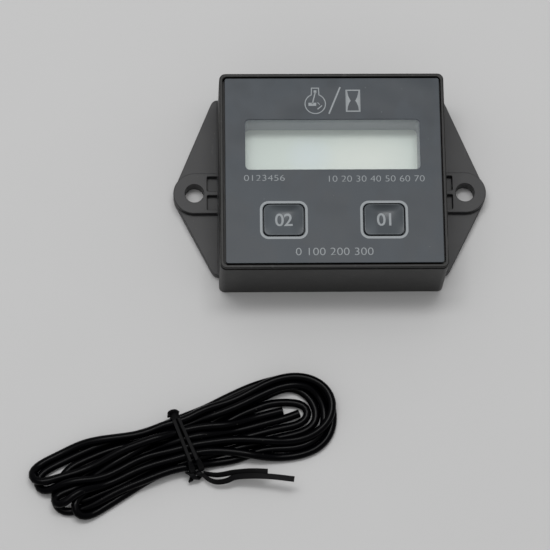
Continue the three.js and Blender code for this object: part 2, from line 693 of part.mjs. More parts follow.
// Rear cover: the plate that closes the case and carries the two mounting ears.
function makeRearCover() {
  const plate = new THREE.ExtrudeGeometry(coverOutline(), {
    depth: COVER_THICKNESS, bevelEnabled: false, curveSegments: ROUND_SIDES / 2,
  });
  const bosses = bothSides(makeEarBoss);
  const tongueX = cavityHalfX - FIT_CLEARANCE;
  const tongueNorth = cavityHalfY - FIT_CLEARANCE;
  const tongueSouth = mouthSouth + FIT_CLEARANCE;
  const clearOfPost = POST_RADIUS + SLIDE_CLEARANCE;
  const endTongueX = postX - clearOfPost;
  const low = COVER_THICKNESS - WELD;
  const high = COVER_THICKNESS + TONGUE_HEIGHT;
  const sideTongues = bothSides((side) => block(
    side * tongueX, side * tongueInner, postSouth + clearOfPost, postNorth - clearOfPost, low, high,
  ));
  const endTongues = [
    block(-endTongueX, endTongueX, tongueNorth - TONGUE_WIDTH, tongueNorth, low, high),
    block(-endTongueX, endTongueX, tongueSouth, tongueSouth + TONGUE_WIDTH, low, high),
  ];
  const aboveEar = EAR_HEIGHT + OVERRUN;
  const holes = bothSides((side) => roundBar(HOLE_DIAMETER / 2, -OVERRUN, aboveEar, side * holeX, holeY));
  const pocketFar = baseHalfX + WALL_LINE_WIDTH + POCKET_LENGTH;
  const pockets = bothSides((side) => bothSides((row) => {
    const nearRib = holeY + row * POCKET_RIB / 2;
    return block(
      side * baseHalfX, side * pocketFar,
      nearRib, nearRib + row * POCKET_WIDTH, COVER_THICKNESS, aboveEar,
    );
  })).flat();
  const wallLines = bothSides((side) => block(
    side * baseHalfX, side * (baseHalfX + WALL_LINE_WIDTH), wingSouth - OVERRUN, wingNorth + OVERRUN,
    COVER_THICKNESS - WALL_LINE_DEPTH, COVER_THICKNESS + OVERRUN,
  ));
  const screwHoles = postPlaces.map(([x, y]) => roundBar(COVER_SCREW_RADIUS + FIT_CLEARANCE,
    -OVERRUN, COVER_THICKNESS + OVERRUN, x, y, SMALL_ROUND_SIDES));
  const headPockets = postPlaces.map(([x, y]) => roundBar(COVER_HEAD_RADIUS + SLIDE_CLEARANCE,
    -OVERRUN, COVER_HEAD_SINK + COVER_HEAD_HEIGHT, x, y, SMALL_ROUND_SIDES));
  const groove = gasketRun(COVER_THICKNESS - GASKET_HEIGHT, COVER_THICKNESS + OVERRUN);
  return joinAndCut(
    [plate, ...bosses, ...sideTongues, ...endTongues],
    [...holes, ...pockets, ...wallLines, ...screwHoles, ...headPockets, groove],
  );
}

// Rubber bush in the top wall, where the lead enters.
function makeInletBush() {
  const start = cavityHalfY;
  const rebate = baseHalfY - INLET_REBATE_DEPTH;
  const end = baseHalfY - SHOULDER_INSET;
  const bore = LEAD_DIAMETER / 2 + LEAD_BORE_CLEARANCE;
  const sleeve = lyingBar(INLET_RADIUS - FIT_CLEARANCE, start, end, inletX, inletZ);
  const flange = lyingBar(INLET_REBATE_RADIUS - FIT_CLEARANCE, rebate + FIT_CLEARANCE, end, inletX, inletZ);
  return joinAndCut([sleeve, flange], [lyingBar(bore, start - OVERRUN, end + OVERRUN, inletX, inletZ)]);
}

// Clamp terminal for the lead, under the board, in line with the inlet.
function makeTerminal() {
  const north = cavityHalfY - FIT_CLEARANCE - TONGUE_WIDTH - SLIDE_CLEARANCE;
  const south = north - TERMINAL_LENGTH;
  const half = TERMINAL_WIDTH / 2;
  const bottom = boardBottom - TERMINAL_HEIGHT;
  const screwY = (north + south) / 2;
  const boreRadius = LEAD_DIAMETER / 2 + LEAD_BORE_CLEARANCE;
  const body = block(inletX - half, inletX + half, south, north, bottom, boardBottom);
  const bore = lyingBar(boreRadius, south - OVERRUN, north + OVERRUN, inletX, inletZ, SMALL_ROUND_SIDES);
  const screwHole = roundBar(TERMINAL_SCREW_RADIUS + FIT_CLEARANCE, bottom - OVERRUN, inletZ, inletX, screwY,
    SMALL_ROUND_SIDES);
  return { geometry: joinAndCut([body], [bore, screwHole]), screwY };
}

// A soft step from 0 to 1.
function ease(share) {
  const held = Math.min(Math.max(share, 0), 1);
  return held * held * (3 - 2 * held);
}

// Places in the hank are worked out along it (u), across it (v) and up (z), then turned into place.
const hankTurn = THREE.MathUtils.degToRad(HANK_TURN_DEGREES);
const waistHalf = 3 * HANK_PITCH;
const leadRadius = LEAD_DIAMETER / 2;
const waistLift = TIE_THICKNESS + TIE_GAP;

function hankPlace(u, v, z) {
  const x = HANK_CENTRE_X + u * Math.cos(hankTurn) - v * Math.sin(hankTurn);
  const y = HANK_CENTRE_Y + u * Math.sin(hankTurn) + v * Math.cos(hankTurn);
  return new THREE.Vector3(x, y, z);
}

// A point of the lead after a number of turns: it spirals in, climbs a layer along a run, and spirals out.
function leadPoint(turns) {
  const inset = HANK_PITCH * Math.min(turns, HANK_TURNS - turns);
  const layer = ease((turns - CLIMB_START) / (CLIMB_END - CLIMB_START));
  const phase = turns - Math.floor(turns);
  const right = phase > 1 / 4 && phase < 3 / 4;
  const reachRight = HANK_RIGHT_REACH - HANK_RIGHT_BEND;
  const reachLeft = HANK_LEFT_REACH - HANK_LEFT_BEND;
  const upper = phase < 1 / 2;
  const runStart = 1 / 8;
  const runEnd = 3 / 8;
  const folded = upper ? phase : 1 - phase;
  let u;
  let v;
  if (folded < runStart) {
    const angle = folded / runStart * Math.PI / 2;
    u = -reachLeft - (HANK_LEFT_BEND - inset) * Math.cos(angle);
    v = (HANK_LEFT_BEND - inset) * Math.sin(angle);
  } else if (folded > runEnd) {
    const angle = (1 / 2 - folded) / runStart * Math.PI / 2;
    u = reachRight + (HANK_RIGHT_BEND - inset) * Math.cos(angle);
    v = (HANK_RIGHT_BEND - inset) * Math.sin(angle);
  } else {
    const share = (folded - runStart) / (runEnd - runStart);
    u = -reachLeft + share * (reachLeft + reachRight);
    const bend = u < 0 ? HANK_LEFT_BEND : HANK_RIGHT_BEND;
    const reach = u < 0 ? reachLeft : reachRight;
    v = waistHalf + (bend - waistHalf) * ease(Math.abs(u) / reach) - inset;
  }
  v *= upper ? 1 : -1;
  const far = ease(Math.abs(u) / ((right ? HANK_RIGHT_REACH : HANK_LEFT_REACH) * SHIFT_REACH_SHARE));
  if (u > 0) {
    v -= HANK_RIGHT_BOW * far;
  } else {
    v -= HANK_LEFT_SPLAY * far * (1 - layer);
    u += HANK_LEFT_STAGGER * far * (1 - layer);
  }
  const lift = waistLift * (1 - ease(Math.abs(u) / LIFT_REACH));
  return hankPlace(u, v, leadRadius + layer * HANK_PITCH + lift);
}

// The lead's centre line: loops of equal steps, with a straight step one diameter long at each end.
function leadCentreLine() {
  const count = Math.round((HANK_END - HANK_START) * LOOP_STEPS);
  const points = [];
  for (let step = 0; step <= count; step += 1) {
    points.push(leadPoint(HANK_START + (HANK_END - HANK_START) * step / count));
  }
  const first = points[0].clone().sub(points[1]).setLength(LEAD_DIAMETER).add(points[0]);
  const last = points[count].clone().sub(points[count - 1]).setLength(LEAD_DIAMETER).add(points[count]);
  return [first, ...points, last];
}

// The shortest distance between two straight stretches, found by trying both ends and the crossing.
function stretchDistance(a0, a1, b0, b1) {
  const one = new THREE.Line3(a0, a1);
  const two = new THREE.Line3(b0, b1);
  const near = new THREE.Vector3();
  let best = Infinity;
  for (const [line, point] of [[one, b0], [one, b1], [two, a0], [two, a1]]) {
    best = Math.min(best, line.closestPointToPoint(point, true, near).distanceTo(point));
  }
  const along = a1.clone().sub(a0);
  const other = b1.clone().sub(b0);
  const normal = along.clone().cross(other);
  if (normal.lengthSq() > 0) {
    const between = b0.clone().sub(a0);
    const onOne = between.clone().cross(other).dot(normal) / normal.lengthSq();
    const onTwo = between.clone().cross(along).dot(normal) / normal.lengthSq();
    if (onOne >= 0 && onOne <= 1 && onTwo >= 0 && onTwo <= 1) {
      best = Math.min(best, Math.abs(between.dot(normal)) / normal.length());
    }
  }
  return best;
}

// Measures the lead's length and its least gap to itself, leaving out stretches that follow one another.
function measureLead(points) {
  let length = 0;
  let gap = Infinity;
  const apart = LOOP_STEPS / 4;
  for (let here = 0; here + 1 < points.length; here += 1) {
    length += points[here].distanceTo(points[here + 1]);
    for (let there = here + apart; there + 1 < points.length; there += 1) {
      const distance = stretchDistance(points[here], points[here + 1], points[there], points[there + 1]);
      gap = Math.min(gap, distance - LEAD_DIAMETER);
    }
  }
  return { length, gap };
}

// The lead as one unbroken tube along its centre line.
function makeLead(points) {
  const up = new THREE.Vector3(0, 0, 1);
  const rings = points.map((point, place) => {
    const before = points[Math.max(place - 1, 0)];
    const after = points[Math.min(place + 1, points.length - 1)];
    const along = after.clone().sub(before).normalize();
    const across = up.clone().cross(along).normalize();
    const rise = along.clone().cross(across);
    const ring = [];
    for (let side = 0; side < LEAD_SIDES; side += 1) {
      const angle = (side + 1 / 2) * 2 * Math.PI / LEAD_SIDES;
      const out = across.clone().multiplyScalar(leadRadius * Math.cos(angle));
      ring.push(out.addScaledVector(rise, leadRadius * Math.sin(angle)).add(point));
    }
    return ring;
  });
  return loft(rings);
}

// A flat strip from one place in the hank to another, standing on its given thickness.
function tieStrip(u0, v0, z0, length, turnDegrees, z1) {
  const turn = THREE.MathUtils.degToRad(turnDegrees);
  const half = TIE_WIDTH / 2;
  const across = [-Math.sin(turn) * half, Math.cos(turn) * half];
  const rings = [0, 1 / 2, 1].map((share) => {
    const u = u0 + share * length * Math.cos(turn);
    const v = v0 + share * length * Math.sin(turn);
    const z = z0 + share * (z1 - z0);
    return [
      hankPlace(u - across[0], v - across[1], z),
      hankPlace(u + across[0], v + across[1], z),
      hankPlace(u + across[0], v + across[1], z + TIE_THICKNESS),
      hankPlace(u - across[0], v - across[1], z + TIE_THICKNESS),
    ];
  });
  return loft(rings);
}

// Twist tie: a band round the waist, a knot beside it on the floor, and two loose tails.
function makeTwistTie() {
  const outerLow = 0;
  const innerLow = TIE_THICKNESS;
  const innerHigh = waistLift + LEAD_DIAMETER + HANK_PITCH + TIE_GAP;
  const outerHigh = innerHigh + TIE_THICKNESS;
  const upperEdge = waistHalf - HANK_PITCH / 4 + leadRadius + TIE_GAP;
  const lowerEdge = -waistHalf + HANK_PITCH * 3 / 4 - leadRadius - TIE_GAP;
  const half = TIE_WIDTH / 2;
  const slab = (v0, v1, z0, z1, reach) => loft([z0, z1].map((z) => [
    hankPlace(-reach, v0, z),
    hankPlace(reach, v0, z),
    hankPlace(reach, v1, z),
    hankPlace(-reach, v1, z),
  ]));
  const band = slab(lowerEdge - TIE_THICKNESS, upperEdge + TIE_THICKNESS, outerLow, outerHigh, half);
  const hole = slab(lowerEdge, upperEdge, innerLow, innerHigh, half + OVERRUN);
  const knotV = lowerEdge - TIE_THICKNESS - TIE_KNOT_RADIUS + WELD;
  const knot = loft([0, 1 / 2, 1].map((share) => {
    const u = (share - 1 / 3) * TIE_KNOT_LENGTH;
    const radius = TIE_KNOT_RADIUS * (share === 1 / 2 ? 1 : 3 / 4);
    return [0, 1, 2, 3, 4, 5].map((side) => {
      const angle = side * Math.PI / 3;
      return hankPlace(u, knotV + radius * Math.cos(angle), TIE_KNOT_RADIUS + radius * Math.sin(angle));
    });
  }));
  const tails = TIE_TAIL_LENGTHS.map((length, place) => {
    const start = TIE_KNOT_LENGTH / 3;
    const turn = TIE_TAIL_TURNS_DEGREES[place];
    return tieStrip(start, knotV, TIE_KNOT_RADIUS - TIE_THICKNESS, length, turn, TIE_THICKNESS);
  });
  return joinAndCut([band, knot, ...tails], [hole]);
}

addPiece('case_shell', makeCaseShell(), blackPlastic);
addPiece('face_overlay', makeOverlay(), filmPlastic);
addPiece('window_lens', block(-lensHalfX, lensHalfX, windowY - lensHalfY, windowY + lensHalfY,
  lensBottom, faceSeat), clearPlastic);
addPiece('display_frame', makeDisplayFrame(), greyPlastic);
addPiece('display_front_glass', block(-glassHalfX, glassHalfX, glassSouth, glassNorth, ledgeBottom, glassTop),
  displayGlass);
addPiece('display_rear_glass', block(-glassHalfX, glassHalfX, glassSouth + GLASS_LEDGE, glassNorth - GLASS_LEDGE,
  ledgeBottom - GLASS_THICKNESS, ledgeBottom), displayGlass);
addPiece('display_reflector', block(-glassHalfX + REFLECTOR_INSET, glassHalfX - REFLECTOR_INSET,
  glassSouth + GLASS_LEDGE + REFLECTOR_INSET, glassNorth - GLASS_LEDGE - REFLECTOR_INSET,
  ledgeBottom - GLASS_THICKNESS - REFLECTOR_THICKNESS, ledgeBottom - GLASS_THICKNESS), silverFilm);
addPiece('contact_strip_top', makeContactStrip(1), rubber);
addPiece('contact_strip_bottom', makeContactStrip(-1), rubber);
addPiece('circuit_board', makeBoard(), boardGreen);

for (const [name, side] of [['left', -1], ['right', 1]]) {
  addPiece(`key_${name}`, makeKey(side), blackPlastic);
  const plunger = roundBar(PLUNGER_RADIUS, plungerBottom, plungerTop, side * keyX, keyY);
  addPiece(`switch_plunger_${name}`, plunger, greyPlastic);
  addPiece(`switch_body_${name}`, makeSwitchBody(side), componentBlack);
}

addPiece('coin_cell', makeCell(cellX, cellY), steel);
addPiece('cell_holder', makeHolder(cellX, cellY), componentBlack);
addPiece('cell_clip', makeClip(cellX, cellY), steel);

const chipHalf = CHIP_WIDTH / 2;
const chipY = windowY - chipHalf;
addPiece('counter_chip', underBoard(-keyX, chipY, chipHalf, chipHalf, CHIP_HEIGHT), componentBlack);
addPiece('timing_crystal', underBoard(-keyX, keyY + CRYSTAL_WIDTH, CRYSTAL_LENGTH / 2, CRYSTAL_WIDTH / 2,
  CRYSTAL_HEIGHT), steel);
const capacitorY = keyY - CAPACITOR_RADIUS / 2;
addPiece('capacitor_left', roundBar(CAPACITOR_RADIUS, boardBottom - CAPACITOR_HEIGHT, boardBottom,
  -CAPACITOR_RADIUS * 3 / 2, capacitorY, SMALL_ROUND_SIDES), componentTan);
addPiece('capacitor_right', roundBar(CAPACITOR_RADIUS, boardBottom - CAPACITOR_HEIGHT, boardBottom,
  CAPACITOR_RADIUS * 3 / 2, capacitorY, SMALL_ROUND_SIDES), componentTan);
['resistor_left', 'resistor_right'].forEach((name, place) => {
  const x = keyX + (place - 1 / 2) * RESISTOR_LENGTH * 3 / 2;
  const resistor = underBoard(x, capacitorY, RESISTOR_LENGTH / 2, RESISTOR_WIDTH / 2, RESISTOR_HEIGHT);
  addPiece(name, resistor, componentTan);
});

const terminal = makeTerminal();
addPiece('lead_terminal', terminal.geometry, brass);
addPiece('terminal_screw', roundBar(TERMINAL_SCREW_RADIUS, boardBottom - TERMINAL_HEIGHT,
  inletZ - LEAD_DIAMETER / 2, inletX, terminal.screwY, SMALL_ROUND_SIDES), steel);
addPiece('inlet_bush', makeInletBush(), rubber);

['left', 'right', 'top'].forEach((spot, place) => {
  const [x, y] = pillarPlaces[place];
  addPiece(`board_screw_${spot}`, makeScrew(x, y, boardBottom - BOARD_HEAD_HEIGHT, BOARD_HEAD_HEIGHT,
    BOARD_HEAD_RADIUS, BOARD_SCREW_RADIUS, BOARD_SCREW_LENGTH), steel);
});

addPiece('rear_cover', makeRearCover(), blackPlastic);
addPiece('cover_gasket', gasketRun(COVER_THICKNESS - GASKET_HEIGHT, COVER_THICKNESS), rubber);
['top_left', 'top_right', 'bottom_left', 'bottom_right'].forEach((corner, place) => {
  const [x, y] = postPlaces[place];
  addPiece(`cover_screw_${corner}`, makeScrew(x, y, COVER_HEAD_SINK, COVER_HEAD_HEIGHT, COVER_HEAD_RADIUS,
    COVER_SCREW_RADIUS, COVER_SCREW_LENGTH), steel);
});

const leadLine = leadCentreLine();
const { length: leadLength, gap: leadGap } = measureLead(leadLine);
console.log(`pickup lead: ${leadLength.toFixed(1)} mm long, least gap to itself ${leadGap.toFixed(3)} mm`);
addPiece('pickup_lead', makeLead(leadLine), leadPlastic);
addPiece('twist_tie', makeTwistTie(), rubber);

export default meter;
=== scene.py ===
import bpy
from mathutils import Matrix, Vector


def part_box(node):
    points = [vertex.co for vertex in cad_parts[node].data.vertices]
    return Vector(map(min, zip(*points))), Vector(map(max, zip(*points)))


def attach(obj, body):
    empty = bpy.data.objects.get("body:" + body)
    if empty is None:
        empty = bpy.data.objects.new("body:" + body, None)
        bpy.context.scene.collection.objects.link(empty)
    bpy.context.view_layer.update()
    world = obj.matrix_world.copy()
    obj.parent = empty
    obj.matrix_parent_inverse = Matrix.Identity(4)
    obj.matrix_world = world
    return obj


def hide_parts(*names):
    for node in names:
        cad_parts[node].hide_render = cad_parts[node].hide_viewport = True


bl_info = {
    "name": "Engine hour meter",
    "version": (1, 0, 0),
    "blender": (4, 5, 0),
    "location": "3D View > Sidebar > Hour meter",
    "description": "Dresses the packed hour meter, its lead and its tie",
    "category": "Object",
}

import math
from types import SimpleNamespace

import bmesh
import bpy
import numpy as np
from mathutils import Matrix, Vector

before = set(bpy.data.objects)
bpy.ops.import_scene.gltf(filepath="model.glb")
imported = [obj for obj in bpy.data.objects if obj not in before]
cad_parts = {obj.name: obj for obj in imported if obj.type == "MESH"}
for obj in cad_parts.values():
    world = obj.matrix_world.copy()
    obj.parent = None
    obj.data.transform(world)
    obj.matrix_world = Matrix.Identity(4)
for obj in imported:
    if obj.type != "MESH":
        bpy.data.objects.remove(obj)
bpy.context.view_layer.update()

MM = 0.001
METER = "meter"


# Settings


def length(name, description, millimetres, **limits):
    """A length that a user would change, kept in metres."""
    return bpy.props.FloatProperty(
        name=name, description=description, default=millimetres * MM,
        unit="LENGTH", subtype="DISTANCE", precision=5, **limits,
    )


def colour(name, description, red, green, blue):
    """A colour written as it should render, from 0 to 255."""
    shares = [channel / 255 for channel in (red, green, blue)]
    return bpy.props.FloatVectorProperty(
        name=name, description=description, size=3, subtype="COLOR_GAMMA",
        min=0, max=1, default=shares,
    )


class CaseSizes(bpy.types.PropertyGroup):
    """Sizes of the moulded case."""

    width: length("Width", "Outside width of the case at its rim", 51.8)
    depth: length("Length", "Outside length of the case at its rim", 46.6)
    height: length("Height", "Height of the case with its lip", 20)
    corner: length("Corner radius", "Radius of the upright corners", 1.4)
    flare: length("Flare", "How far each wall leans out at the back", 0.25)
    wall: length("Wall", "Thickness of the side walls", 1.8)
    front: length("Front wall", "Thickness of the front wall", 2)
    lip_width: length("Lip width", "Width of the raised lip", 0.75)
    lip_rise: length("Lip rise", "Height of the lip above the face", 0.6)
    shoulder_drop: length("Shoulder drop", "Depth of the shoulder line below the lip", 1.5)
    groove: length("Groove", "Height of the thin groove under the lip", 0.9)


class MountSizes(bpy.types.PropertyGroup):
    """Sizes of the rear cover and its ears."""

    thickness: length("Plate", "Thickness of the cover plate", 2.6)
    ear_height: length("Ear height", "Height of the raised ears", 4.1)
    ear_radius: length("Ear radius", "Radius of the round ear ends", 4.95)
    ear_reach: length("Ear reach", "From the rim to the middle of a hole", 5.85)
    hole: length("Hole", "Diameter of the mounting holes", 4.4)
    hole_drop: length("Hole drop", "How far the holes lie below the middle line", 0.54)
    end_width: length("Wing end", "How far the wing ends stand out of the case", 1.15)
    north_inset: length("Upper inset", "From the upper wall to the wing's upper edge", 0.45)
    south_inset: length("Lower inset", "From the lower wall to the wing's lower edge", 3.45)


class FaceSizes(bpy.types.PropertyGroup):
    """Sizes of the face film, the window and the keys."""

    film: length("Film", "Thickness of the printed film", 0.25)
    film_gap: length("Film gap", "Gap between the film and the lip", 0.4)
    film_shift: length("Film shift", "How far the film sits to the upper right in the lip", 0.1)
    window_width: length("Window width", "Width of the display window", 40.2)
    window_length: length("Window length", "Length of the display window", 12.1)
    window_rise: length("Window rise", "Middle of the window above the middle line", 6.2)
    window_corner: length("Window corner", "Corner radius of the window", 1.1)
    key_spacing: length("Key spacing", "Distance between the two keys", 22.86)
    key_drop: length("Key drop", "Middle of the keys below the middle line", 11.9)
    key_width: length("Key opening width", "Width of a key's opening", 9.55)
    key_length: length("Key opening length", "Length of a key's opening", 7.75)
    key_corner: length("Key corner", "Corner radius of a key's opening", 1.5)
    key_gap: length("Key gap", "Gap round each key", 0.25)
    key_rise: length("Key rise", "Height of the keys above the film", 0.25)
    dish: length("Key dish", "Depth of the hollow in each key", 1.1)
    dish_offset: length("Dish offset", "Deepest line of the hollow above the key's middle", 1.5)


class HankSizes(bpy.types.PropertyGroup):
    """Sizes of the tied lead."""

    diameter: length("Lead diameter", "Outside diameter of the lead", 1.9)
    centre_x: length("Hank X", "Middle of the hank, across", -34.4)
    centre_y: length("Hank Y", "Middle of the hank, along", -59.7)
    turn: bpy.props.FloatProperty(
        name="Hank turn", description="How far the hank is turned",
        default=math.radians(16.5), subtype="ANGLE", unit="ROTATION",
    )
    tie_width: length("Tie width", "Width of the flat tie", 1.3)
    tie_thickness: length("Tie thickness", "Thickness of the flat tie", 0.5)


class FinishColours(bpy.types.PropertyGroup):
    """Colours of the finishes."""

    case: colour("Case", "Moulded black plastic of the case", 22, 22, 21)
    cover: colour("Cover", "Moulded black plastic of the rear cover", 44, 44, 45)
    film: colour("Film", "Printed face film", 63, 68, 73)
    print_grey: colour("Print", "Printed marks on the film", 150, 155, 158)
    # Painted light: the keys are the same film, painted lighter than it to make up for the shade in their
    # hollows.
    key: colour("Key", "Key caps", 74, 79, 83)
    frame_grey: colour("Display frame", "Grey walls round the display", 136, 141, 149)
    display: colour("Display", "The blank display", 196, 204, 195)
    lead: colour("Lead", "Covering of the lead", 1, 1, 2)
    tie: colour("Tie", "Flat plastic tie", 3, 3, 4)
    floor: colour("Floor", "Plain floor", 195, 195, 195)


class MeterSettings(bpy.types.PropertyGroup):
    """Everything that a user would change."""

    case: bpy.props.PointerProperty(type=CaseSizes)
    mount: bpy.props.PointerProperty(type=MountSizes)
    face: bpy.props.PointerProperty(type=FaceSizes)
    hank: bpy.props.PointerProperty(type=HankSizes)
    colours: bpy.props.PointerProperty(type=FinishColours)


def in_millimetres(group):
    """The lengths of one group of settings, in millimetres."""
    lengths = {name: round(getattr(group, name) / MM, 4) for name in group.__annotations__}
    return SimpleNamespace(**lengths)


def linear(shade):
    """A written colour as the shader's linear one."""
    channels = [c / 12.92 if c <= 0.04045 else ((c + 0.055) / 1.055) ** 2.4 for c in shade]
    return (*channels, 1.0)


def rgb(red, green, blue):
    """A colour from 0 to 255 as the shader's linear one."""
    return linear([red / 255, green / 255, blue / 255])


def tinted(shade, factor):
    """A linear colour made lighter or darker."""
    return [channel * factor for channel in shade[:3]] + [1]


def measures():
    """All sizes in millimetres, with the places that follow from them."""
    settings = bpy.context.scene.hour_meter
    case = in_millimetres(settings.case)
    mount = in_millimetres(settings.mount)
    face = in_millimetres(settings.face)
    hank = in_millimetres(settings.hank)
    hank.turn = settings.hank.turn
    case.rim_x = case.width / 2
    case.rim_y = case.depth / 2
    case.base_x = case.rim_x + case.flare
    case.base_y = case.rim_y + case.flare
    case.inner_x = case.rim_x - case.wall
    case.inner_y = case.rim_y - case.wall
    case.face_z = case.height - case.lip_rise
    case.inner_top = case.face_z - case.front
    mount.hole_x = case.rim_x + mount.ear_reach
    mount.hole_y = -mount.hole_drop
    mount.north = case.base_y - mount.north_inset
    mount.south = -case.base_y + mount.south_inset
    case.mouth_y = mount.south + (mount.north - case.inner_y)
    face.film_top = case.face_z + face.film
    face.key_x = face.key_spacing / 2
    face.key_y = -face.key_drop
    face.opening_x = face.key_width / 2
    face.opening_y = face.key_length / 2
    face.window_x = face.window_width / 2
    face.window_y = face.window_length / 2
    return SimpleNamespace(case=case, mount=mount, face=face, hank=hank)


# Nodes and materials


class Wire:
    """A node's output that takes part in Python sums."""

    def __init__(self, nodes, socket):
        self.nodes = nodes
        self.socket = socket

    def sum(self, operation, first, second, clamp=False):
        """One Math node on values or wires."""
        settings = {"operation": operation, "use_clamp": clamp}
        return self.nodes.wire("ShaderNodeMath", {0: first, 1: second}, settings)

    def __add__(self, other):
        return self.sum("ADD", self, other)

    __radd__ = __add__

    def __sub__(self, other):
        return self.sum("SUBTRACT", self, other)

    def __rsub__(self, other):
        return self.sum("SUBTRACT", other, self)

    def __mul__(self, other):
        return self.sum("MULTIPLY", self, other)

    __rmul__ = __mul__

    def __truediv__(self, other):
        return self.sum("DIVIDE", self, other)

    def __rtruediv__(self, other):
        return self.sum("DIVIDE", other, self)

    def held(self):
        """The value kept between 0 and 1."""
        return self.sum("MULTIPLY", self, 1.0, clamp=True)

    def above(self, edge, width):
        """A soft step that is 1 where the value is above the edge."""
        return ((self - edge) / width + 0.5).held()


class Nodes:
    """A node tree that is filled by one method."""

    def __init__(self, tree):
        self.tree = tree
        tree.nodes.clear()

    def add(self, kind, values=None, settings=None):
        """Adds a node, sets it up, then fills its sockets with values or wires."""
        node = self.tree.nodes.new(kind)
        for key, value in (settings or {}).items():
            setattr(node, key, value)
        for key, value in (values or {}).items():
            self.fill(node.inputs[key], value)
        return node

    def wire(self, kind, values=None, settings=None, out=0):
        """Adds a node and gives one of its outputs."""
        return Wire(self, self.add(kind, values, settings).outputs[out])

    def fill(self, socket, value):
        """Sets a socket's value, or links one wire or several to it."""
        wires = value if isinstance(value, list) else [value]
        if isinstance(wires[0], Wire):
            for wire in wires:
                self.tree.links.new(wire.socket, socket)
        else:
            socket.default_value = value


class Finish(Nodes):
    """A procedural material on Object coordinates, with one Principled shader."""

    def __init__(self, name, **fixed):
        self.material = bpy.data.materials.new(name)
        self.material.use_nodes = True
        super().__init__(self.material.node_tree)
        self.shader = self.add("ShaderNodeBsdfPrincipled")
        self.body = Wire(self, self.shader.outputs[0])
        self.output = self.add("ShaderNodeOutputMaterial", {"Surface": self.body})
        self.place = self.wire("ShaderNodeTexCoord", out="Object")
        self.feed(**fixed)

    def feed(self, **values):
        """Fills the shader's sockets with values or wires; underscores stand for spaces."""
        for name, value in values.items():
            self.fill(self.shader.inputs[name.replace("_", " ")], value)

    def scaled(self, scale):
        """Object coordinates, scaled by a Mapping node."""
        return self.wire("ShaderNodeMapping", {"Vector": self.place, "Scale": scale})

    def noise(self, grain, detail, rough, stretch=(1, 1, 1)):
        """Noise whose grain is given in millimetres."""
        each = [side / (grain * MM) for side in stretch]
        values = {"Vector": self.scaled(each), "Scale": 1.0, "Detail": detail, "Roughness": rough}
        return self.wire("ShaderNodeTexNoise", values)

    def specks(self, spacing, size, blur):
        """Scattered specks, 1 inside each, with their size and blur as shares of the spacing."""
        values = {"Vector": self.scaled([1 / (spacing * MM)] * 3), "Scale": 1.0}
        return 1 - self.wire("ShaderNodeTexVoronoi", values, out="Distance").above(size, blur)

    def mix(self, share, first, second):
        """A colour between two colours."""
        return self.wire("ShaderNodeMix", {0: share, 6: first, 7: second}, {"data_type": "RGBA"}, 2)

    def axis(self, name):
        """One Object coordinate, in millimetres."""
        return self.wire("ShaderNodeSeparateXYZ", {0: self.place}, out=name) / MM

    def bump(self, height, depth, strength=1.0):
        """Feeds a bump of a given depth in millimetres to the shader's normal."""
        values = {"Height": height, "Distance": depth * MM, "Strength": strength}
        self.feed(Normal=self.wire("ShaderNodeBump", values))

    def patch(self, x, y, radius_x, radius_y):
        """A soft round patch on the face, 1 in the middle and 0 at its edge."""
        across = (self.axis("X") - x) / radius_x
        along = (self.axis("Y") - y) / radius_y
        return (1 - (across * across + along * along)).held()


def moulded_plastic(name, shade, roughness, gloss, dust=0.2):
    """Satin moulded plastic: a fine spark texture, soft mottling, faint scuffs and dust."""
    finish = Finish(name, Specular_IOR_Level=gloss)
    mottle = finish.noise(6, 4, 0.6)
    grain = finish.noise(0.16, 2, 0.6)
    scuff = finish.noise(1.1, 3, 0.5, stretch=(1, 0.12, 1)).above(0.67, 0.04)
    speck = finish.specks(2.3, 0.045, 0.03)
    body = finish.mix(mottle, tinted(shade, 0.82), tinted(shade, 1.22))
    worn = finish.mix(scuff * 0.12, body, rgb(96, 96, 96))
    finish.feed(Base_Color=finish.mix(speck * dust, worn, rgb(150, 148, 144)),
                Roughness=roughness - 0.06 + mottle * 0.1 + grain * 0.05 + speck * 0.2)
    finish.bump(grain + mottle * 0.6, 0.01, 0.5)
    return finish.material


def film_finish(name, shade, gloss):
    """Printed polyester film: semi-gloss, with faint smears and a slow change of tone. Its lighter and
    darker colour patches are partly real smears and partly painted reflection.
    """
    finish = Finish(name, Specular_IOR_Level=gloss)
    tone = finish.noise(17, 2, 0.4)
    smear_and_sheen = finish.noise(8, 2, 0.5, stretch=(1, 0.7, 1)).above(0.5, 0.12)
    speck = finish.specks(2.9, 0.03, 0.02)
    wave = finish.noise(9, 1, 0.4)
    # Painted reflection: the smears and the slow tone also lighten and darken the colour in soft patches, in
    # place of swirls of reflected light.
    cloud = (tone * 0.5 + smear_and_sheen * 0.45).held()
    body = finish.mix(cloud, tinted(shade, 0.8), tinted(shade, 1.25))
    finish.feed(Base_Color=finish.mix(speck * 0.5, body, rgb(150, 152, 154)),
                Roughness=0.29 + smear_and_sheen * 0.05 + tone * 0.05 + speck * 0.3)
    finish.bump(finish.noise(0.35, 2, 0.5) * 0.02 + wave, 0.25)
    return finish.material


def print_finish(shade):
    """Silk-screened ink, with slightly uneven cover."""
    finish = Finish("screen_print", Specular_IOR_Level=0.3)
    cover = finish.noise(0.5, 3, 0.6)
    finish.feed(Base_Color=finish.mix(cover, tinted(shade, 0.8), shade), Roughness=0.5 + cover * 0.15)
    finish.bump(cover, 0.003, 0.4)
    return finish.material


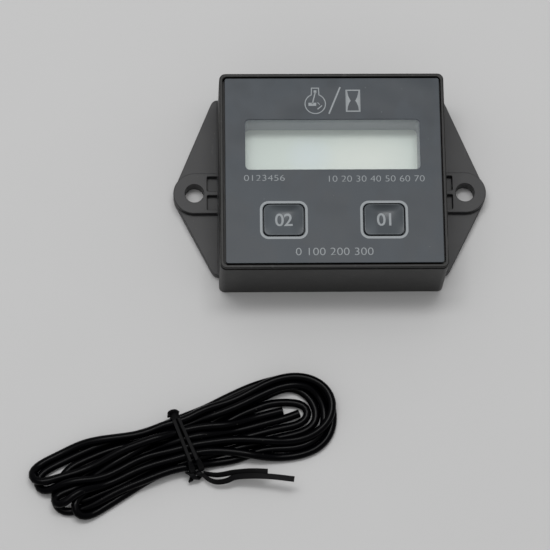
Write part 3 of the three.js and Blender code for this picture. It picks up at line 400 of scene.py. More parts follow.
def display_finish(shade):
    """The blank display: pale green-grey, with a warm and a cool patch and a fine speckle."""
    finish = Finish("display_glass", Specular_IOR_Level=0.5)
    speckle = finish.noise(0.3, 2, 0.6)
    cloud = finish.noise(7, 3, 0.5)
    body = finish.mix(finish.patch(8, 5, 12, 7) * 0.55, shade, rgb(224, 222, 212))
    body = finish.mix(finish.patch(-5, 6, 6, 5) * 0.4, body, rgb(205, 214, 226))
    body = finish.mix((speckle * 0.16 + cloud * 0.14).held(), body, rgb(176, 184, 178))
    finish.feed(Base_Color=body, Roughness=0.3 + speckle * 0.1)
    return finish.material


def clear_finish():
    """Clear acrylic: mostly let through, with a thin gloss."""
    finish = Finish("clear_lens", Base_Color=rgb(225, 230, 230), IOR=1.49)
    haze = finish.noise(6, 3, 0.5)
    finish.feed(Roughness=0.1 + haze * 0.05)
    clear = finish.wire("ShaderNodeBsdfTransparent", {"Color": (0.97, 0.98, 0.98, 1)})
    mixed = finish.wire("ShaderNodeMixShader", {0: 0.06 + haze * 0.02, 1: clear, 2: finish.body})
    finish.fill(finish.output.inputs["Surface"], mixed)
    return finish.material


def lead_finish(shade):
    """Glossy soft covering of the lead, faintly waved, with a little dust."""
    finish = Finish("lead_black", Specular_IOR_Level=0.06)
    wave = finish.noise(2.4, 3, 0.5)
    speck = finish.specks(2.1, 0.05, 0.03)
    body = finish.mix(wave * 0.8, shade, tinted(shade, 1.6))
    finish.feed(Base_Color=finish.mix(speck * 0.15, body, rgb(120, 118, 112)),
                Roughness=0.16 + wave * 0.06 + speck * 0.3)
    finish.bump(wave + finish.noise(0.3, 2, 0.5) * 0.3, 0.012, 0.5)
    return finish.material


def tie_finish(shade):
    """Matt flat strip with a fine fleck."""
    finish = Finish("tie_black", Specular_IOR_Level=0.1)
    fleck = finish.noise(0.4, 3, 0.6)
    finish.feed(Base_Color=finish.mix(fleck, shade, tinted(shade, 1.7)), Roughness=0.5 + fleck * 0.15)
    finish.bump(fleck, 0.012, 0.6)
    return finish.material


def board_finish():
    """Green solder resist with copper runs and fine mottling."""
    finish = Finish("board_green", Specular_IOR_Level=0.5)
    mottle = finish.noise(1.3, 3, 0.5)
    field = finish.noise(2.6, 0, 0.5)
    runs = field.above(0.52, 0.015) * (1 - field.above(0.56, 0.015))
    body = finish.mix(mottle, rgb(22, 76, 42), rgb(30, 92, 52))
    finish.feed(Base_Color=finish.mix(runs, body, rgb(58, 124, 72)), Roughness=0.3 + mottle * 0.15)
    finish.bump(runs + mottle * 0.2, 0.03, 0.6)
    return finish.material


def metal_finish(name, shade, roughness):
    """Plated metal, with drawn lines and a little tarnish."""
    finish = Finish(name, Metallic=1.0)
    lines = finish.noise(0.6, 3, 0.6, stretch=(1, 1, 0.1))
    stain = finish.noise(2.2, 3, 0.6)
    finish.feed(Base_Color=finish.mix(stain, tinted(shade, 0.7), shade), Roughness=roughness + lines * 0.15)
    finish.bump(lines, 0.01, 0.4)
    return finish.material


def plain_finish(name, shade, roughness, grain=0.3, depth=0.008):
    """A moulded or cast part with a visible grain."""
    finish = Finish(name, Specular_IOR_Level=0.4)
    speck = finish.noise(grain, 3, 0.6)
    tone = (speck * 0.5 + finish.noise(3, 2, 0.5) * 0.5).held()
    finish.feed(Base_Color=finish.mix(tone, tinted(shade, 0.8), tinted(shade, 1.15)),
                Roughness=roughness - 0.05 + speck * 0.1)
    finish.bump(speck, depth, 0.5)
    return finish.material


MATERIALS = {}


class MixFinishes(bpy.types.Operator):
    """Mixes every finish once, from the colours in the settings"""

    bl_idname = "hourmeter.mix_finishes"
    bl_label = "Finishes"

    def execute(self, context):
        tones = context.scene.hour_meter.colours
        MATERIALS.update({
            "case_black": moulded_plastic("case_black", linear(tones.case), 0.4, 0.2),
            "cover_black": moulded_plastic("cover_black", linear(tones.cover), 0.48, 0.32),
            "printed_film": film_finish("printed_film", linear(tones.film), 0.12),
            "screen_print": print_finish(linear(tones.print_grey)),
            # The keys take the film's finish with a lighter colour: painted light for the shade in their
            # hollows.
            "key_black": film_finish("key_black", linear(tones.key), 0.26),
            "clear_lens": clear_finish(),
            "frame_grey": plain_finish("frame_grey", linear(tones.frame_grey), 0.5, 0.25),
            "display_glass": display_finish(linear(tones.display)),
            "reflector_film": plain_finish("reflector_film", rgb(200, 205, 200), 0.4),
            "black_rubber": plain_finish("black_rubber", rgb(30, 30, 31), 0.75, 0.2, 0.02),
            "board_green": board_finish(),
            "component_black": plain_finish("component_black", rgb(27, 27, 27), 0.55, 0.2),
            "component_tan": plain_finish("component_tan", rgb(154, 123, 85), 0.5),
            "bright_steel": metal_finish("bright_steel", rgb(184, 186, 188), 0.26),
            "terminal_brass": metal_finish("terminal_brass", rgb(190, 162, 100), 0.3),
            "lead_black": lead_finish(linear(tones.lead)),
            "tie_black": tie_finish(linear(tones.tie)),
        })
        return {"FINISHED"}


# Mesh tools
# Shapes are made in millimetres; a finished piece's mesh is in metres.

# How far a cutter runs past the body that it cuts, and how far joined shapes run into each other
PAST = 1
OVERLAP = 0.2
BAR_SIDES, HOLE_SIDES, LYING_SIDES = 40, 32, 48

# The least corner radius, and the least length that anything is divided by
LEAST_RADIUS, TINY = 1e-4, 1e-9

# Edges steeper than this many degrees stay sharp, on a piece that has no angle of its own
SHARP = 32


def linked(name, data):
    """A new object with this data, in the scene."""
    made = bpy.data.objects.new(name, data)
    bpy.context.scene.collection.objects.link(made)
    return made


def shape(name, points, faces):
    """A mesh object from points and faces."""
    mesh = bpy.data.meshes.new(name)
    mesh.from_pydata([tuple(map(float, point)) for point in points], [], faces)
    mesh.validate()
    return linked(name, mesh)


def rounded(half_x, half_y, radius, centre=(0, 0), steps=10):
    """A rounded rectangle as points, anticlockwise from above."""
    bend = max(min(radius, half_x, half_y), LEAST_RADIUS)
    points = []
    for corner, (sx, sy) in enumerate(((1, 1), (-1, 1), (-1, -1), (1, -1))):
        for step in range(steps + 1):
            angle = (corner + step / steps) * math.pi / 2
            points.append((
                centre[0] + sx * (half_x - bend) + bend * math.cos(angle),
                centre[1] + sy * (half_y - bend) + bend * math.sin(angle),
            ))
    return np.array(points)


def circle(radius, centre=(0, 0), sides=64):
    """A round outline, anticlockwise from above."""
    return arc(radius, centre, np.arange(sides) * 2 * math.pi / sides)


def arc(radius, centre, angles):
    """Points on a circle at the given angles."""
    return np.column_stack([centre[0] + radius * np.cos(angles), centre[1] + radius * np.sin(angles)])


def walked(line):
    """How far along a line each of its points lies."""
    return np.concatenate([[0], np.cumsum(np.linalg.norm(np.diff(line, axis=0), axis=1))])


def read_off(line, places, marks):
    """The points at the marks of a line whose own points lie at the places."""
    return np.column_stack([np.interp(marks, places, side) for side in np.transpose(line)])


def spread(outline, count):
    """A closed outline with its points spread evenly, so that it can follow a hollow."""
    ring = np.vstack([outline, outline[:1]])
    walk = walked(ring)
    return read_off(ring, walk, np.linspace(0, walk[-1], count, endpoint=False))


def at(outline, z):
    """An outline lifted to one height."""
    return np.column_stack([outline, np.full(len(outline), z)])


def loft(name, rings):
    """A closed body through rings of the same count, from the lowest to the highest."""
    count = len(rings[0])
    last = (len(rings) - 1) * count
    faces = []
    for level in range(0, last, count):
        for side in range(count):
            here, after = level + side, level + (side + 1) % count
            faces.append((here, after, after + count, here + count))
    faces.append(tuple(range(count - 1, -1, -1)))
    faces.append(tuple(range(last, last + count)))
    return shape(name, np.vstack(rings), faces)


def sideways(before, after, distance, limit):
    """The moves that put a line's points a distance to its left, from the edges on both sides."""
    sides = []
    for edge in (before, after):
        lengths = np.maximum(np.linalg.norm(edge, axis=1, keepdims=True), TINY)
        sides.append(np.column_stack([-edge[:, 1], edge[:, 0]]) / lengths)
    middle = sides[0] + sides[1]
    middle /= np.maximum(np.linalg.norm(middle, axis=1, keepdims=True), TINY)
    return middle * (distance / np.maximum((middle * sides[0]).sum(1, keepdims=True), limit))


def inset(outline, distance):
    """An anticlockwise outline moved inwards by one distance."""
    before = outline - np.roll(outline, 1, axis=0)
    after = np.roll(outline, -1, axis=0) - outline
    return outline + sideways(before, after, distance, limit=0.5)


def edged(outline, profile, level=0):
    """The rings of an outline along a profile of insets and heights, counted from one level."""
    return [at(inset(outline, gap), level + rise) for gap, rise in profile]


def layered(name, outline, layers):
    """A body from one outline, inset by a different distance at each height."""
    return loft(name, edged(outline, layers))


def box(name, x0, x1, y0, y1, z0, z1):
    """A plain cutter between two corners."""
    (west, east), (south, north) = sorted((x0, x1)), sorted((y0, y1))
    ring = np.array([(west, south), (east, south), (east, north), (west, north)])
    return loft(name, [at(ring, z0), at(ring, z1)])


def bar(name, radius, z0, z1, centre, sides):
    """A round bar standing along Z."""
    return loft(name, [at(circle(radius, centre, sides), z) for z in (z0, z1)])


def lying_bar(name, radius, y0, y1, x, z):
    """A round bar lying along Y."""
    made = bar(name, radius, y0, y1, (0, 0), LYING_SIDES)
    made.data.transform(Matrix.Translation((x, 0, z)) @ Matrix.Rotation(-math.pi / 2, 4, "X"))
    return made


def evaluated(made):
    """The mesh of an object as its modifiers leave it."""
    return bpy.data.meshes.new_from_object(made.evaluated_get(bpy.context.evaluated_depsgraph_get()))


def bake(made):
    """Puts the evaluated mesh of an object in place of its modifiers."""
    made.data = evaluated(made)
    made.modifiers.clear()


def carve(body, tools, operation="DIFFERENCE"):
    """Joins tools to a body or cuts them out of it, and removes the tools."""
    for tool in tools:
        step = body.modifiers.new("carve", "BOOLEAN")
        step.operation = operation
        step.solver = "EXACT"
        step.object = tool
    bake(body)
    for tool in tools:
        bpy.data.objects.remove(tool)


def joined(name, parts):
    """Several shapes as one mesh."""
    points, faces = [], []
    for part in parts:
        start = len(points)
        points += [tuple(v.co) for v in part.data.vertices]
        faces += [tuple(start + v for v in face.vertices) for face in part.data.polygons]
        bpy.data.objects.remove(part)
    return shape(name, points, faces)


def finish_piece(made, body, slot, nodes=(), material=None, sharp=SHARP):
    """Brings a piece to metres, gives it its finish and lets it ride on its body."""
    made.data.transform(Matrix.Scale(MM, 4))
    made.data.materials.clear()
    made.data.materials.append(MATERIALS[material or slot])
    made.data.shade_smooth()
    made.data.set_sharp_from_angle(angle=math.radians(sharp))
    even = made.modifiers.new("even_shading", "WEIGHTED_NORMAL")
    even.keep_sharp = True
    bake(made)
    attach(made, body)
    if nodes:
        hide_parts(*nodes)


def dress(node, material):
    """Gives a CAD node one of the finishes."""
    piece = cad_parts[node]
    for place in piece.material_slots:
        place.material = MATERIALS[material]
    if not piece.material_slots:
        piece.data.materials.append(MATERIALS[material])


# Lead


# Each place is along the hank, across it and up, in millimetres. The lead is wound anticlockwise
# from its inner end to its outer end, and each bend's top strand is where the photograph shows it.
HANK_LINE = (
    # Inner end, lying inside the right bends
    (27.8, -1, 1), (19, -0.7, 1), (12, -0.4, 1.3), (6, 0.2, 1.8), (1, 0.6, 2.4),
    # Left bend 1
    (-6, 0.5, 1.8), (-12, 0.4, 1.3), (-18, 0, 1), (-23.4, -0.8, 1), (-27.4, -2.8, 1),
    (-27.6, -5, 1), (-25, -6.1, 1), (-20, -5.5, 1), (-13, -4, 1), (-6, -2.9, 1.2), (1, -2.3, 1.4),
    # Right bend 1
    (8, -2.4, 1.1), (14.7, -2.5, 1), (20, -2.8, 1), (24, -2.9, 1), (27.2, -2.9, 1), (29, -1.8, 1),
    (29.3, -0.4, 1), (28, 0.6, 1), (25.3, 1.8, 1), (22.3, 3.6, 1), (19, 3.4, 1), (16, 3.1, 1), (8, 1.6, 1.1),
    (1, -0.3, 1.4),
    # Left bend 2
    (-7, -1.1, 1.2), (-14, -2, 1.2), (-20, -3.4, 1.3), (-25, -4.9, 1.6), (-28.6, -6.9, 1.6),
    (-27.8, -8.8, 1.6), (-24.1, -9, 2.2), (-20.3, -8.4, 2.4), (-16.9, -7.5, 2.3), (-14, -6.5, 2.1),
    (-9.8, -5.6, 1.8), (-5, -4.8, 1.5), (1, -4.3, 1.4),
    # Right bend 2
    (8, -4.4, 1.1), (15, -4.8, 1), (20, -5.1, 1), (24, -5.2, 1), (28.1, -4.6, 1), (30.8, -3.4, 1),
    (31.5, -1.2, 1), (31, 1.3, 1), (30.1, 3.5, 1), (28.2, 5.2, 1), (25.4, 5.6, 1), (22.5, 5.3, 1),
    (19, 4.8, 1), (15, 4.4, 1), (8, 3.1, 1.1), (1, 1.7, 1.4),
    # Left bend 3
    (-7, 2.7, 1.6), (-13, 3.4, 1.7), (-19, 3.9, 1.7), (-23, 3.6, 1.6), (-27, 2.2, 1.3),
    (-30, -1.6, 1), (-31.8, -4.4, 1), (-31.2, -6.8, 1), (-28.8, -7.3, 1.5), (-24, -6.7, 2.2),
    (-20, -6.6, 2.8), (-15.2, -6.3, 2.8), (-9.8, -5.8, 2.7), (-5.7, -5.3, 2.9), (1, -5.1, 3.1),
    # Right bend 3
    (4, -5.6, 2.6), (8.7, -6.9, 1.2), (13, -7, 1), (16.5, -6.7, 1), (20, -7.2, 1), (24.5, -8.2, 1),
    (28.1, -8.2, 1), (30.9, -7.3, 1), (31.8, -5.2, 1), (32.2, -3, 1), (32.5, -0.6, 1), (32.2, 1.7, 1.5),
    (31.4, 3.5, 2.2), (30.3, 4.7, 2.8), (26.3, 6, 2.8), (22.2, 5.8, 2.8), (18, 5.1, 2.8),
    (11, 4.2, 2.4), (6, 3.9, 1.9), (1, 3.7, 1.5),
    # Left bend 4
    (-4, 3, 2), (-8, 2, 2.8), (-12, 1.1, 3), (-16, 0.3, 3), (-20, -0.7, 3), (-24, -1.8, 2.6),
    (-28, -2.8, 2.1), (-31.2, -3.6, 2), (-32.5, -4.8, 2.4), (-30.8, -5.2, 3.2), (-27, -4.5, 3.9),
    (-22.5, -4.5, 4.2), (-18.4, -3.9, 4.2), (-13, -3.4, 4), (-7.6, -3, 3.7), (1, -3.2, 3.3),
    # Right bend 4
    (4, -3.6, 3.2), (8.4, -4.7, 2.8), (11.5, -5.8, 2.3), (15.2, -7.6, 2.2), (19, -9.2, 1.8),
    (22.7, -9.9, 1.1), (25.2, -10, 1), (28, -9.6, 1), (30.6, -8.7, 1), (33, -6.9, 1),
    (34.4, -4.6, 1), (34.7, -1.8, 1), (34.7, 1, 1), (34.1, 3.7, 1), (32.2, 5.9, 1), (29, 7.5, 1),
    (25.5, 8.1, 1), (19.3, 8.1, 1), (12.2, 7, 1), (6, 6.2, 1.2), (1, 5.7, 1.4),
    # Left bend 5
    (-8, 5.1, 1.2), (-16, 5.3, 1), (-24, 4.4, 1), (-30, 3.4, 1), (-33.8, 1.9, 1.2), (-35, 0.2, 1.8),
    (-33.4, -1.1, 2.4), (-30, -1.8, 3.3), (-25, -2.4, 3.9), (-17.7, -2.2, 4.1), (-13.8, -1.5, 3.9),
    (-9.6, -0.9, 3.7), (-5.6, -0.6, 3.4), (1, -0.9, 3.3),
    # Right bend 5
    (7.9, -1.9, 3.5), (12.8, -3.2, 3.4), (20, -5.6, 3.2), (24.9, -7, 3.2), (28.3, -7.1, 3.4),
    (31.4, -5.9, 3.8), (33.8, -3.7, 4.2), (35.1, -1.4, 4.6), (35.2, 0.6, 4.6), (34.6, 2.7, 4.6),
    (32.8, 5.1, 4.5), (29.3, 7, 4.2), (23.5, 8, 3.4), (18.7, 7.3, 2.9), (10.3, 6, 2.9),
    (5, 5.2, 3.1), (1, 4.8, 3.3),
    # Left bend 6
    (-4, 4.5, 3.1), (-8, 4.6, 2.9), (-15.6, 5.6, 2.9), (-20.8, 6, 2.9), (-24.7, 6, 2.9),
    (-28.3, 5.6, 2.9), (-31.6, 4.9, 2.9), (-34.4, 3.7, 3), (-35.5, 2, 3.2), (-34.2, 0.6, 3.6),
    (-31, 0.3, 4), (-26.3, 0.3, 4.4), (-21.3, 0.5, 4.6), (-18, 0.8, 4.5), (-14.7, 1.4, 4.2),
    (-10.8, 2.2, 3.8), (-6, 2.5, 3.5), (1, 2.3, 3.3),
    # Outer end
    (6.2, 1.4, 3.3), (14.1, 1, 2.9), (21.3, 1, 2.6), (23.2, 0.8, 2.4), (24, 0.5, 2.3),
)


# The lead as it is cut: points on each span of the line, and the step between points at rest
SPAN_POINTS, LEAD_STEP = 12, 1.0

# How the lead comes to rest: rounds, rounds from one search for near points to the next,
# and passes in a round
ROUNDS, SEARCH_EVERY, PASSES = 300, 12, 3

# In millimetres: the gap kept free, how much further the search looks, and how far a round sinks
SPARE_GAP, SEARCH_REACH, SINKING = 0.02, 2, 0.02

# Shares: the pull back to the line, first and last, and the straightening in a pass
EARLY_HOLD, LATE_HOLD, STRAIGHTENING = 0.04, 0.004, 0.4

# The power of the count by which a point that is pushed from several sides moves less
CROWDING = 0.6

# Points nearer to each other along the lead than this many gaps aren't pushed apart
SAME_TURN = 1.6

# The stretch that lies on the tie: its middle along the hank, half its length and its slope's
RAISED_X, RAISED_HALF, RAISED_SLOPE = 1, 4, 1.5


def smooth_line(points, spacing):
    """A curve through the points, cut into even steps."""
    points = np.array(points, float)
    ends = np.array([2 * points[0] - points[1], *points, 2 * points[-1] - points[-2]])
    share = np.linspace(0, 1, SPAN_POINTS, endpoint=False)[:, None]
    dense = []
    for a, b, c, d in zip(ends, ends[1:], ends[2:], ends[3:]):
        dense.append(0.5 * (2 * b + (c - a) * share + (2 * a - 5 * b + 4 * c - d) * share ** 2
                            + (3 * b - a - 3 * c + d) * share ** 3))
    return evened(np.vstack([*dense, points[-1:]]), spacing)


def evened(line, spacing):
    """The same line in even steps."""
    walk = walked(line)
    count = max(int(round(walk[-1] / spacing)), 2)
    return read_off(line, walk, np.linspace(0, walk[-1], count + 1))


def settle(line, diameter, under_waist):
    """Lets the lead come to rest: its turns push apart, lie on each other and keep their length."""
    place, goal = line.copy(), line.copy()
    step = np.linalg.norm(np.diff(place, axis=0), axis=1).mean()
    gap = diameter + SPARE_GAP
    every, other = np.triu_indices(len(place), int(math.ceil(gap * SAME_TURN / step)) + 1)
    ramp = np.clip((RAISED_HALF - np.abs(place[:, 0] - RAISED_X)) / RAISED_SLOPE, 0, 1)
    floor = diameter / 2 + under_waist * ramp
    for turn in range(ROUNDS):
        calm = 1 - turn / ROUNDS
        if turn % SEARCH_EVERY == 0:
            near = ((place[every] - place[other]) ** 2).sum(1) < (gap + SEARCH_REACH) ** 2
            first, second = every[near], other[near]
        place[:, 2] -= SINKING * calm
        place[:, :2] += (goal[:, :2] - place[:, :2]) * (EARLY_HOLD * calm + LATE_HOLD)
        for _ in range(PASSES):
            push_apart(place, first, second, gap)
            bend = np.zeros_like(place)
            bend[2:-2] = (4 * (place[1:-3] + place[3:-1]) - place[:-4] - place[4:]) / 6 - place[2:-2]
            bend[1] = (place[0] + place[2]) / 2 - place[1]
            bend[-2] = (place[-1] + place[-3]) / 2 - place[-2]
            place += bend * STRAIGHTENING
            keep_steps(place, step)
            place[:, 2] = np.maximum(place[:, 2], floor)
    return evened(place, step)


def push_apart(place, first, second, gap):
    """Moves the points of two turns apart where they are nearer than the lead is thick."""
    across = place[first] - place[second]
    apart = np.sqrt((across ** 2).sum(1))
    close = np.nonzero(apart < gap)[0]
    push = across[close] * ((gap / np.maximum(apart[close], TINY) - 1) * 0.5)[:, None]
    move = np.zeros_like(place)
    times = np.zeros(len(place))
    for points, way in ((first[close], 1), (second[close], -1)):
        np.add.at(move, points, push * way)
        np.add.at(times, points, 1)
    place += move / np.maximum(times, 1)[:, None] ** CROWDING


def keep_steps(place, step):
    """Pulls neighbouring points back to one step from each other."""
    for start in (0, 1):
        near, far = place[start:-1:2], place[start + 1::2]
        span = far[:len(near)] - near
        long = np.linalg.norm(span, axis=1, keepdims=True)
        pull = span * (1 - step / np.maximum(long, TINY)) * 0.5
        near += pull
        far[:len(near)] -= pull


def on_floor(points, hank):
    """Places in the hank, brought to their place beside the meter."""
    points = np.atleast_2d(np.array(points, float))
    cosine, sine = math.cos(hank.turn), math.sin(hank.turn)
    x = hank.centre_x + points[:, 0] * cosine - points[:, 1] * sine
    y = hank.centre_y + points[:, 0] * sine + points[:, 1] * cosine
    return np.column_stack([x, y, points[:, 2]])


STATE = {}


class MakeLead(bpy.types.Operator):
    """Lays the lead in its hank and gives it its covering"""

    bl_idname = "hourmeter.make_lead"
    bl_label = "Lead"

    def execute(self, context):
        hank = measures().hank
        rest = settle(smooth_line(HANK_LINE, LEAD_STEP), hank.diameter, hank.tie_thickness)
        line = on_floor(rest, hank) * MM
        curve = bpy.data.curves.new("pickup_lead_hank", "CURVE")
        curve.dimensions = "3D"
        curve.bevel_depth = hank.diameter / 2 * MM
        curve.bevel_resolution = 5
        curve.use_fill_caps = True
        curve.materials.append(MATERIALS["lead_black"])
        spline = curve.splines.new("POLY")
        spline.points.add(len(line) - 1)
        for point, where in zip(spline.points, line):
            point.co = (*where, 1)
        spline.use_smooth = True
        lead = linked("pickup_lead_hank", curve)
        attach(lead, METER)
        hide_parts("pickup_lead")
        reach = float(np.linalg.norm(np.diff(line, axis=0), axis=1).sum())
        STATE.update(rest=rest, lead=lead, exit=tuple(line[0]), reach=reach)
        return {"FINISHED"}


# Tie

# The waist: its middle along the hank, half its length, and the slack of the bands round it
WAIST_X, WAIST_HALF, SLACK = 0.8, 2.2, 0.05

# The bands: corner radius, how far the second lies above the first, and how far each leans
BAND_CORNER, BAND_RISE, BAND_LEAN = 2.1, 0.16, 0.12

# Along the hank: where the first band starts, the step to the second, how far the first runs on
# its way across, and how much further the second does
BAND_START, BAND_STEP, BAND_RUN, BAND_MORE = -0.75, 0.6, 0.7, 1.5

# The knot: the radius of its winding, its sway, its lean, half turns and points
KNOT_RADIUS, KNOT_SWAY, KNOT_LEAN, KNOT_HALF_TURNS, KNOT_POINTS = 0.6, 0.12, 0.35, 2.2, 30
FOLD_POINTS, TAIL_POINTS, CURVE_STEP = 16, 48, 0.2

# The strip's edges are rounded to a share of half its thickness; it is squeezed narrower in the
# knot and the fold, and thinner in the tails
EDGE_SHARE, SQUEEZE = 0.7, 0.8
TIE_SHARP = 40

# The knot's two strips: the first and the last place of each, from the waist's near side, and where
# its winding starts
KNOT_STRIPS = (
    ((-1.5, -0.2, 2.6), (2.4, -1.6, 1.5), 0),
    ((-1.2, -0.9, 1.6), (2.2, -0.5, 2.4), math.pi),
)


def ribbon(points, across, width, thickness):
    """A flat strip along points, whose width lies along the given directions."""
    along = np.gradient(points, axis=0)
    along /= np.linalg.norm(along, axis=1, keepdims=True)
    across = across - (across * along).sum(1, keepdims=True) * along
    across /= np.linalg.norm(across, axis=1, keepdims=True)
    up = np.cross(along, across)
    half, deep = width / 2, thickness / 2
    section = rounded(half, deep, deep * EDGE_SHARE, steps=3)
    rings = [here + section[:, :1] * side + section[:, 1:] * high
             for here, side, high in zip(points, across, up)]
    return loft("ribbon", rings[::-1])


def eased(rows, count):
    """A few rows of numbers, read off at more places that lie evenly between the first and the last."""
    rows = np.array(rows, float)
    return read_off(rows, np.arange(len(rows)), np.linspace(0, len(rows) - 1, count))


def wraps(hank, north, south, top):
    """The two crossed bands round the waist, each twisted once over the top."""
    half = (top - hank.tie_thickness / 2) / 2
    low = half + hank.tie_thickness / 2
    outline = rounded((north - south) / 2, half, BAND_CORNER, steps=8)
    outline = np.vstack([outline, outline[:1]])
    parts = []
    for lean in (0, 1):
        v = (north + south) / 2 + outline[:, 0]
        z = low + outline[:, 1] + lean * BAND_RISE
        share = (north - v) / (north - south)
        u = BAND_START + lean * BAND_STEP + share * (BAND_RUN + lean * BAND_MORE)
        twist = np.where(z > low, share, 0) * math.pi * (2 - 4 * lean)
        z += np.abs(np.sin(twist)) * hank.tie_width / 3
        across = np.column_stack([np.cos(twist), np.full(len(twist), BAND_LEAN), np.sin(twist)])
        parts.append(ribbon(np.column_stack([u, v, z]), across, hank.tie_width, hank.tie_thickness))
    return parts


def knot(hank, south):
    """Two short strips wound round each other beside the waist."""
    parts = []
    for first, last, swing in KNOT_STRIPS:
        start, end = (np.array((x, south + y, z)) for x, y, z in (first, last))
        share = np.linspace(0, 1, KNOT_POINTS)[:, None]
        axis = start + (end - start) * share
        angle = swing + share[:, 0] * math.pi * KNOT_HALF_TURNS
        offset = np.column_stack([
            KNOT_SWAY * np.sin(angle), KNOT_RADIUS * np.cos(angle), KNOT_RADIUS * np.sin(angle)])
        twist = np.column_stack([np.full(len(angle), KNOT_LEAN), np.sin(angle), -np.cos(angle)])
        parts.append(ribbon(axis + offset, twist, hank.tie_width * SQUEEZE, hank.tie_thickness))
    return parts


# The fold on the waist, from the top of its far side
FOLD_PLACES = ((-1.7, -0.9, -0.4), (-1.6, -0.3, -0.5), (-0.9, 0.05, -0.6), (0.1, -0.1, -0.5),
               (0.6, -0.8, -0.2))
FOLD_SIDE = (0.3, 0.8, 0.7)

# Each tail: its first place, from the waist's near side, the places that follow in the hank,
# and the directions across the strip on the way
TAILS = (
    ((1.9, -0.9, 2.2),
     ((3.0, -9.8, 2.1), (4.4, -10.9, 2.4), (6.6, -11.4, 2.9), (8.8, -11.3, 3.5), (12.2, -12.2, 4.3),
      (16.5, -13.8, 5.0), (21.3, -16.0, 5.6)),
     ((0.2, 0.4, 1), (0.3, 0.6, 0.8), (0.2, 0.9, 0.5), (0, 1, 0.2), (0, 1, 0.1), (0.2, 1, 0),
      (0.25, 1, 0), (0.3, 1, 0))),
    ((2.2, -0.8, 2.4),
     ((5.1, -9.5, 2.8), (9.0, -10.2, 3.6), (12.7, -11.2, 4.4), (16.1, -12.5, 5.1)),
     ((0.2, 0.6, 1), (0.1, 0.8, 0.8), (0.1, 1, 0.6), (0.2, 1, 0.4), (0.3, 1, 0.2))),
)


class MakeTie(bpy.types.Operator):
    """Winds the flat tie round the hank's waist and knots it"""

    bl_idname = "hourmeter.make_tie"
    bl_label = "Tie"

    def execute(self, context):
        hank = measures().hank
        width, thick = hank.tie_width, hank.tie_thickness
        rest = STATE["rest"]
        waist = rest[np.abs(rest[:, 0] - WAIST_X) < WAIST_HALF]
        reach = hank.diameter / 2 + thick / 2 + SLACK
        north, south = waist[:, 1].max() + reach, waist[:, 1].min() - reach
        top = waist[:, 2].max() + reach
        parts = wraps(hank, north, south, top) + knot(hank, south)
        fold = smooth_line(np.array(FOLD_PLACES) + (0, north, top), CURVE_STEP)
        parts.append(ribbon(eased(fold, FOLD_POINTS), np.tile(FOLD_SIDE, (FOLD_POINTS, 1)),
                            width * SQUEEZE, thick))
        for (x, y, z), places, sides in TAILS:
            line = smooth_line([(x, south + y, z), *places], CURVE_STEP)
            parts.append(ribbon(eased(line, TAIL_POINTS), eased(sides, TAIL_POINTS), width,
                                thick * SQUEEZE))
        tie = joined("twist_tie_strip", parts)
        placed = on_floor([v.co for v in tie.data.vertices], hank)
        tie.data.vertices.foreach_set("co", placed.astype(np.float32).ravel())
        finish_piece(tie, METER, "tie_black", ["twist_tie"], sharp=TIE_SHARP)
        return {"FINISHED"}


# Case

# Fixed sizes of the case, in millimetres
WALL_LEAN, CUP_INSET, HOLLOW_CORNER = 0.2, 0.55, 0.6
LEDGE_RISE, COVER_GAP = 2.2, 0.3
POST_INSET, POST_RADIUS, POST_HOLE, POST_HOLE_DEPTH = 2.4, 2.6, 1.15, 7.5
PILLAR_RADIUS, PILLAR_FOOT = 2.0, 9.0
PILLAR_HOLE, PILLAR_HOLE_FOOT, PILLAR_HOLE_TOP = 0.95, 7.4, 14.0
MOAT_DEPTH, MOAT_RISE, BED_MARGIN, WINDOW_MARGIN = 1.2, 0.1, 0.1, 1.65
INLET_RISE, INLET_RADIUS, REBATE_RADIUS, REBATE_DEPTH = 2.75, 1.9, 2.4, 0.9

# Eased edges of the case, as insets and heights: its foot, the shoulder, the two ends of the groove,
# the foot and the top of the lip, and the recess inside the lip
CASE_FOOT = ((0.12, 0), (0.03, 0.04), (0, 0.14))
SHOULDER_EDGE = ((0, -0.22), (0.05, -0.08), (0.16, 0))
GROOVE_FOOT, GROOVE_TOP = ((0, 0.02),), ((0, -0.02),)
LIP_FOOT = ((0.07, 0), (0, 0.07))
LIP_TOP = ((0, -0.24), (0.04, -0.1), (0.12, -0.03), (0.24, 0))
RECESS_TOP = ((0, -0.14), (-0.05, -0.04), (-0.16, 0.01), (-0.16, PAST))


def key_ring(sizes, side, grow, z):
    """The outline of a key's opening, grown by a distance, at one height."""
    face = sizes.face
    ring = rounded(face.opening_x + grow, face.opening_y + grow, face.key_corner + grow,
                   (side * face.key_x, face.key_y))
    return at(ring, z)


def key_cutters(sizes, layers):
    """A cutter for each key's opening, grown by a distance at each height."""
    return [loft("key_opening", [key_ring(sizes, side, grow, z) for grow, z in layers]) for side in (-1, 1)]


def post_places(sizes):
    """Where the four cover posts stand."""
    case = sizes.case
    x, north, south = case.inner_x - POST_INSET, case.inner_y - POST_INSET, case.mouth_y + POST_INSET
    return [(side * x, y) for y in (north, south) for side in (-1, 1)]


def standing_at(node):
    """Where a CAD node stands: the middle of its box, and its foot."""
    low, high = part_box(node)
    return (low.x + high.x) / 2 / MM, (low.y + high.y) / 2 / MM, low.z / MM


BOARD_SCREWS = ("board_screw_left", "board_screw_right", "board_screw_top")


def pillar_places():
    """Where the three board pillars stand, taken from the board screws."""
    return [standing_at(node)[:2] for node in BOARD_SCREWS]


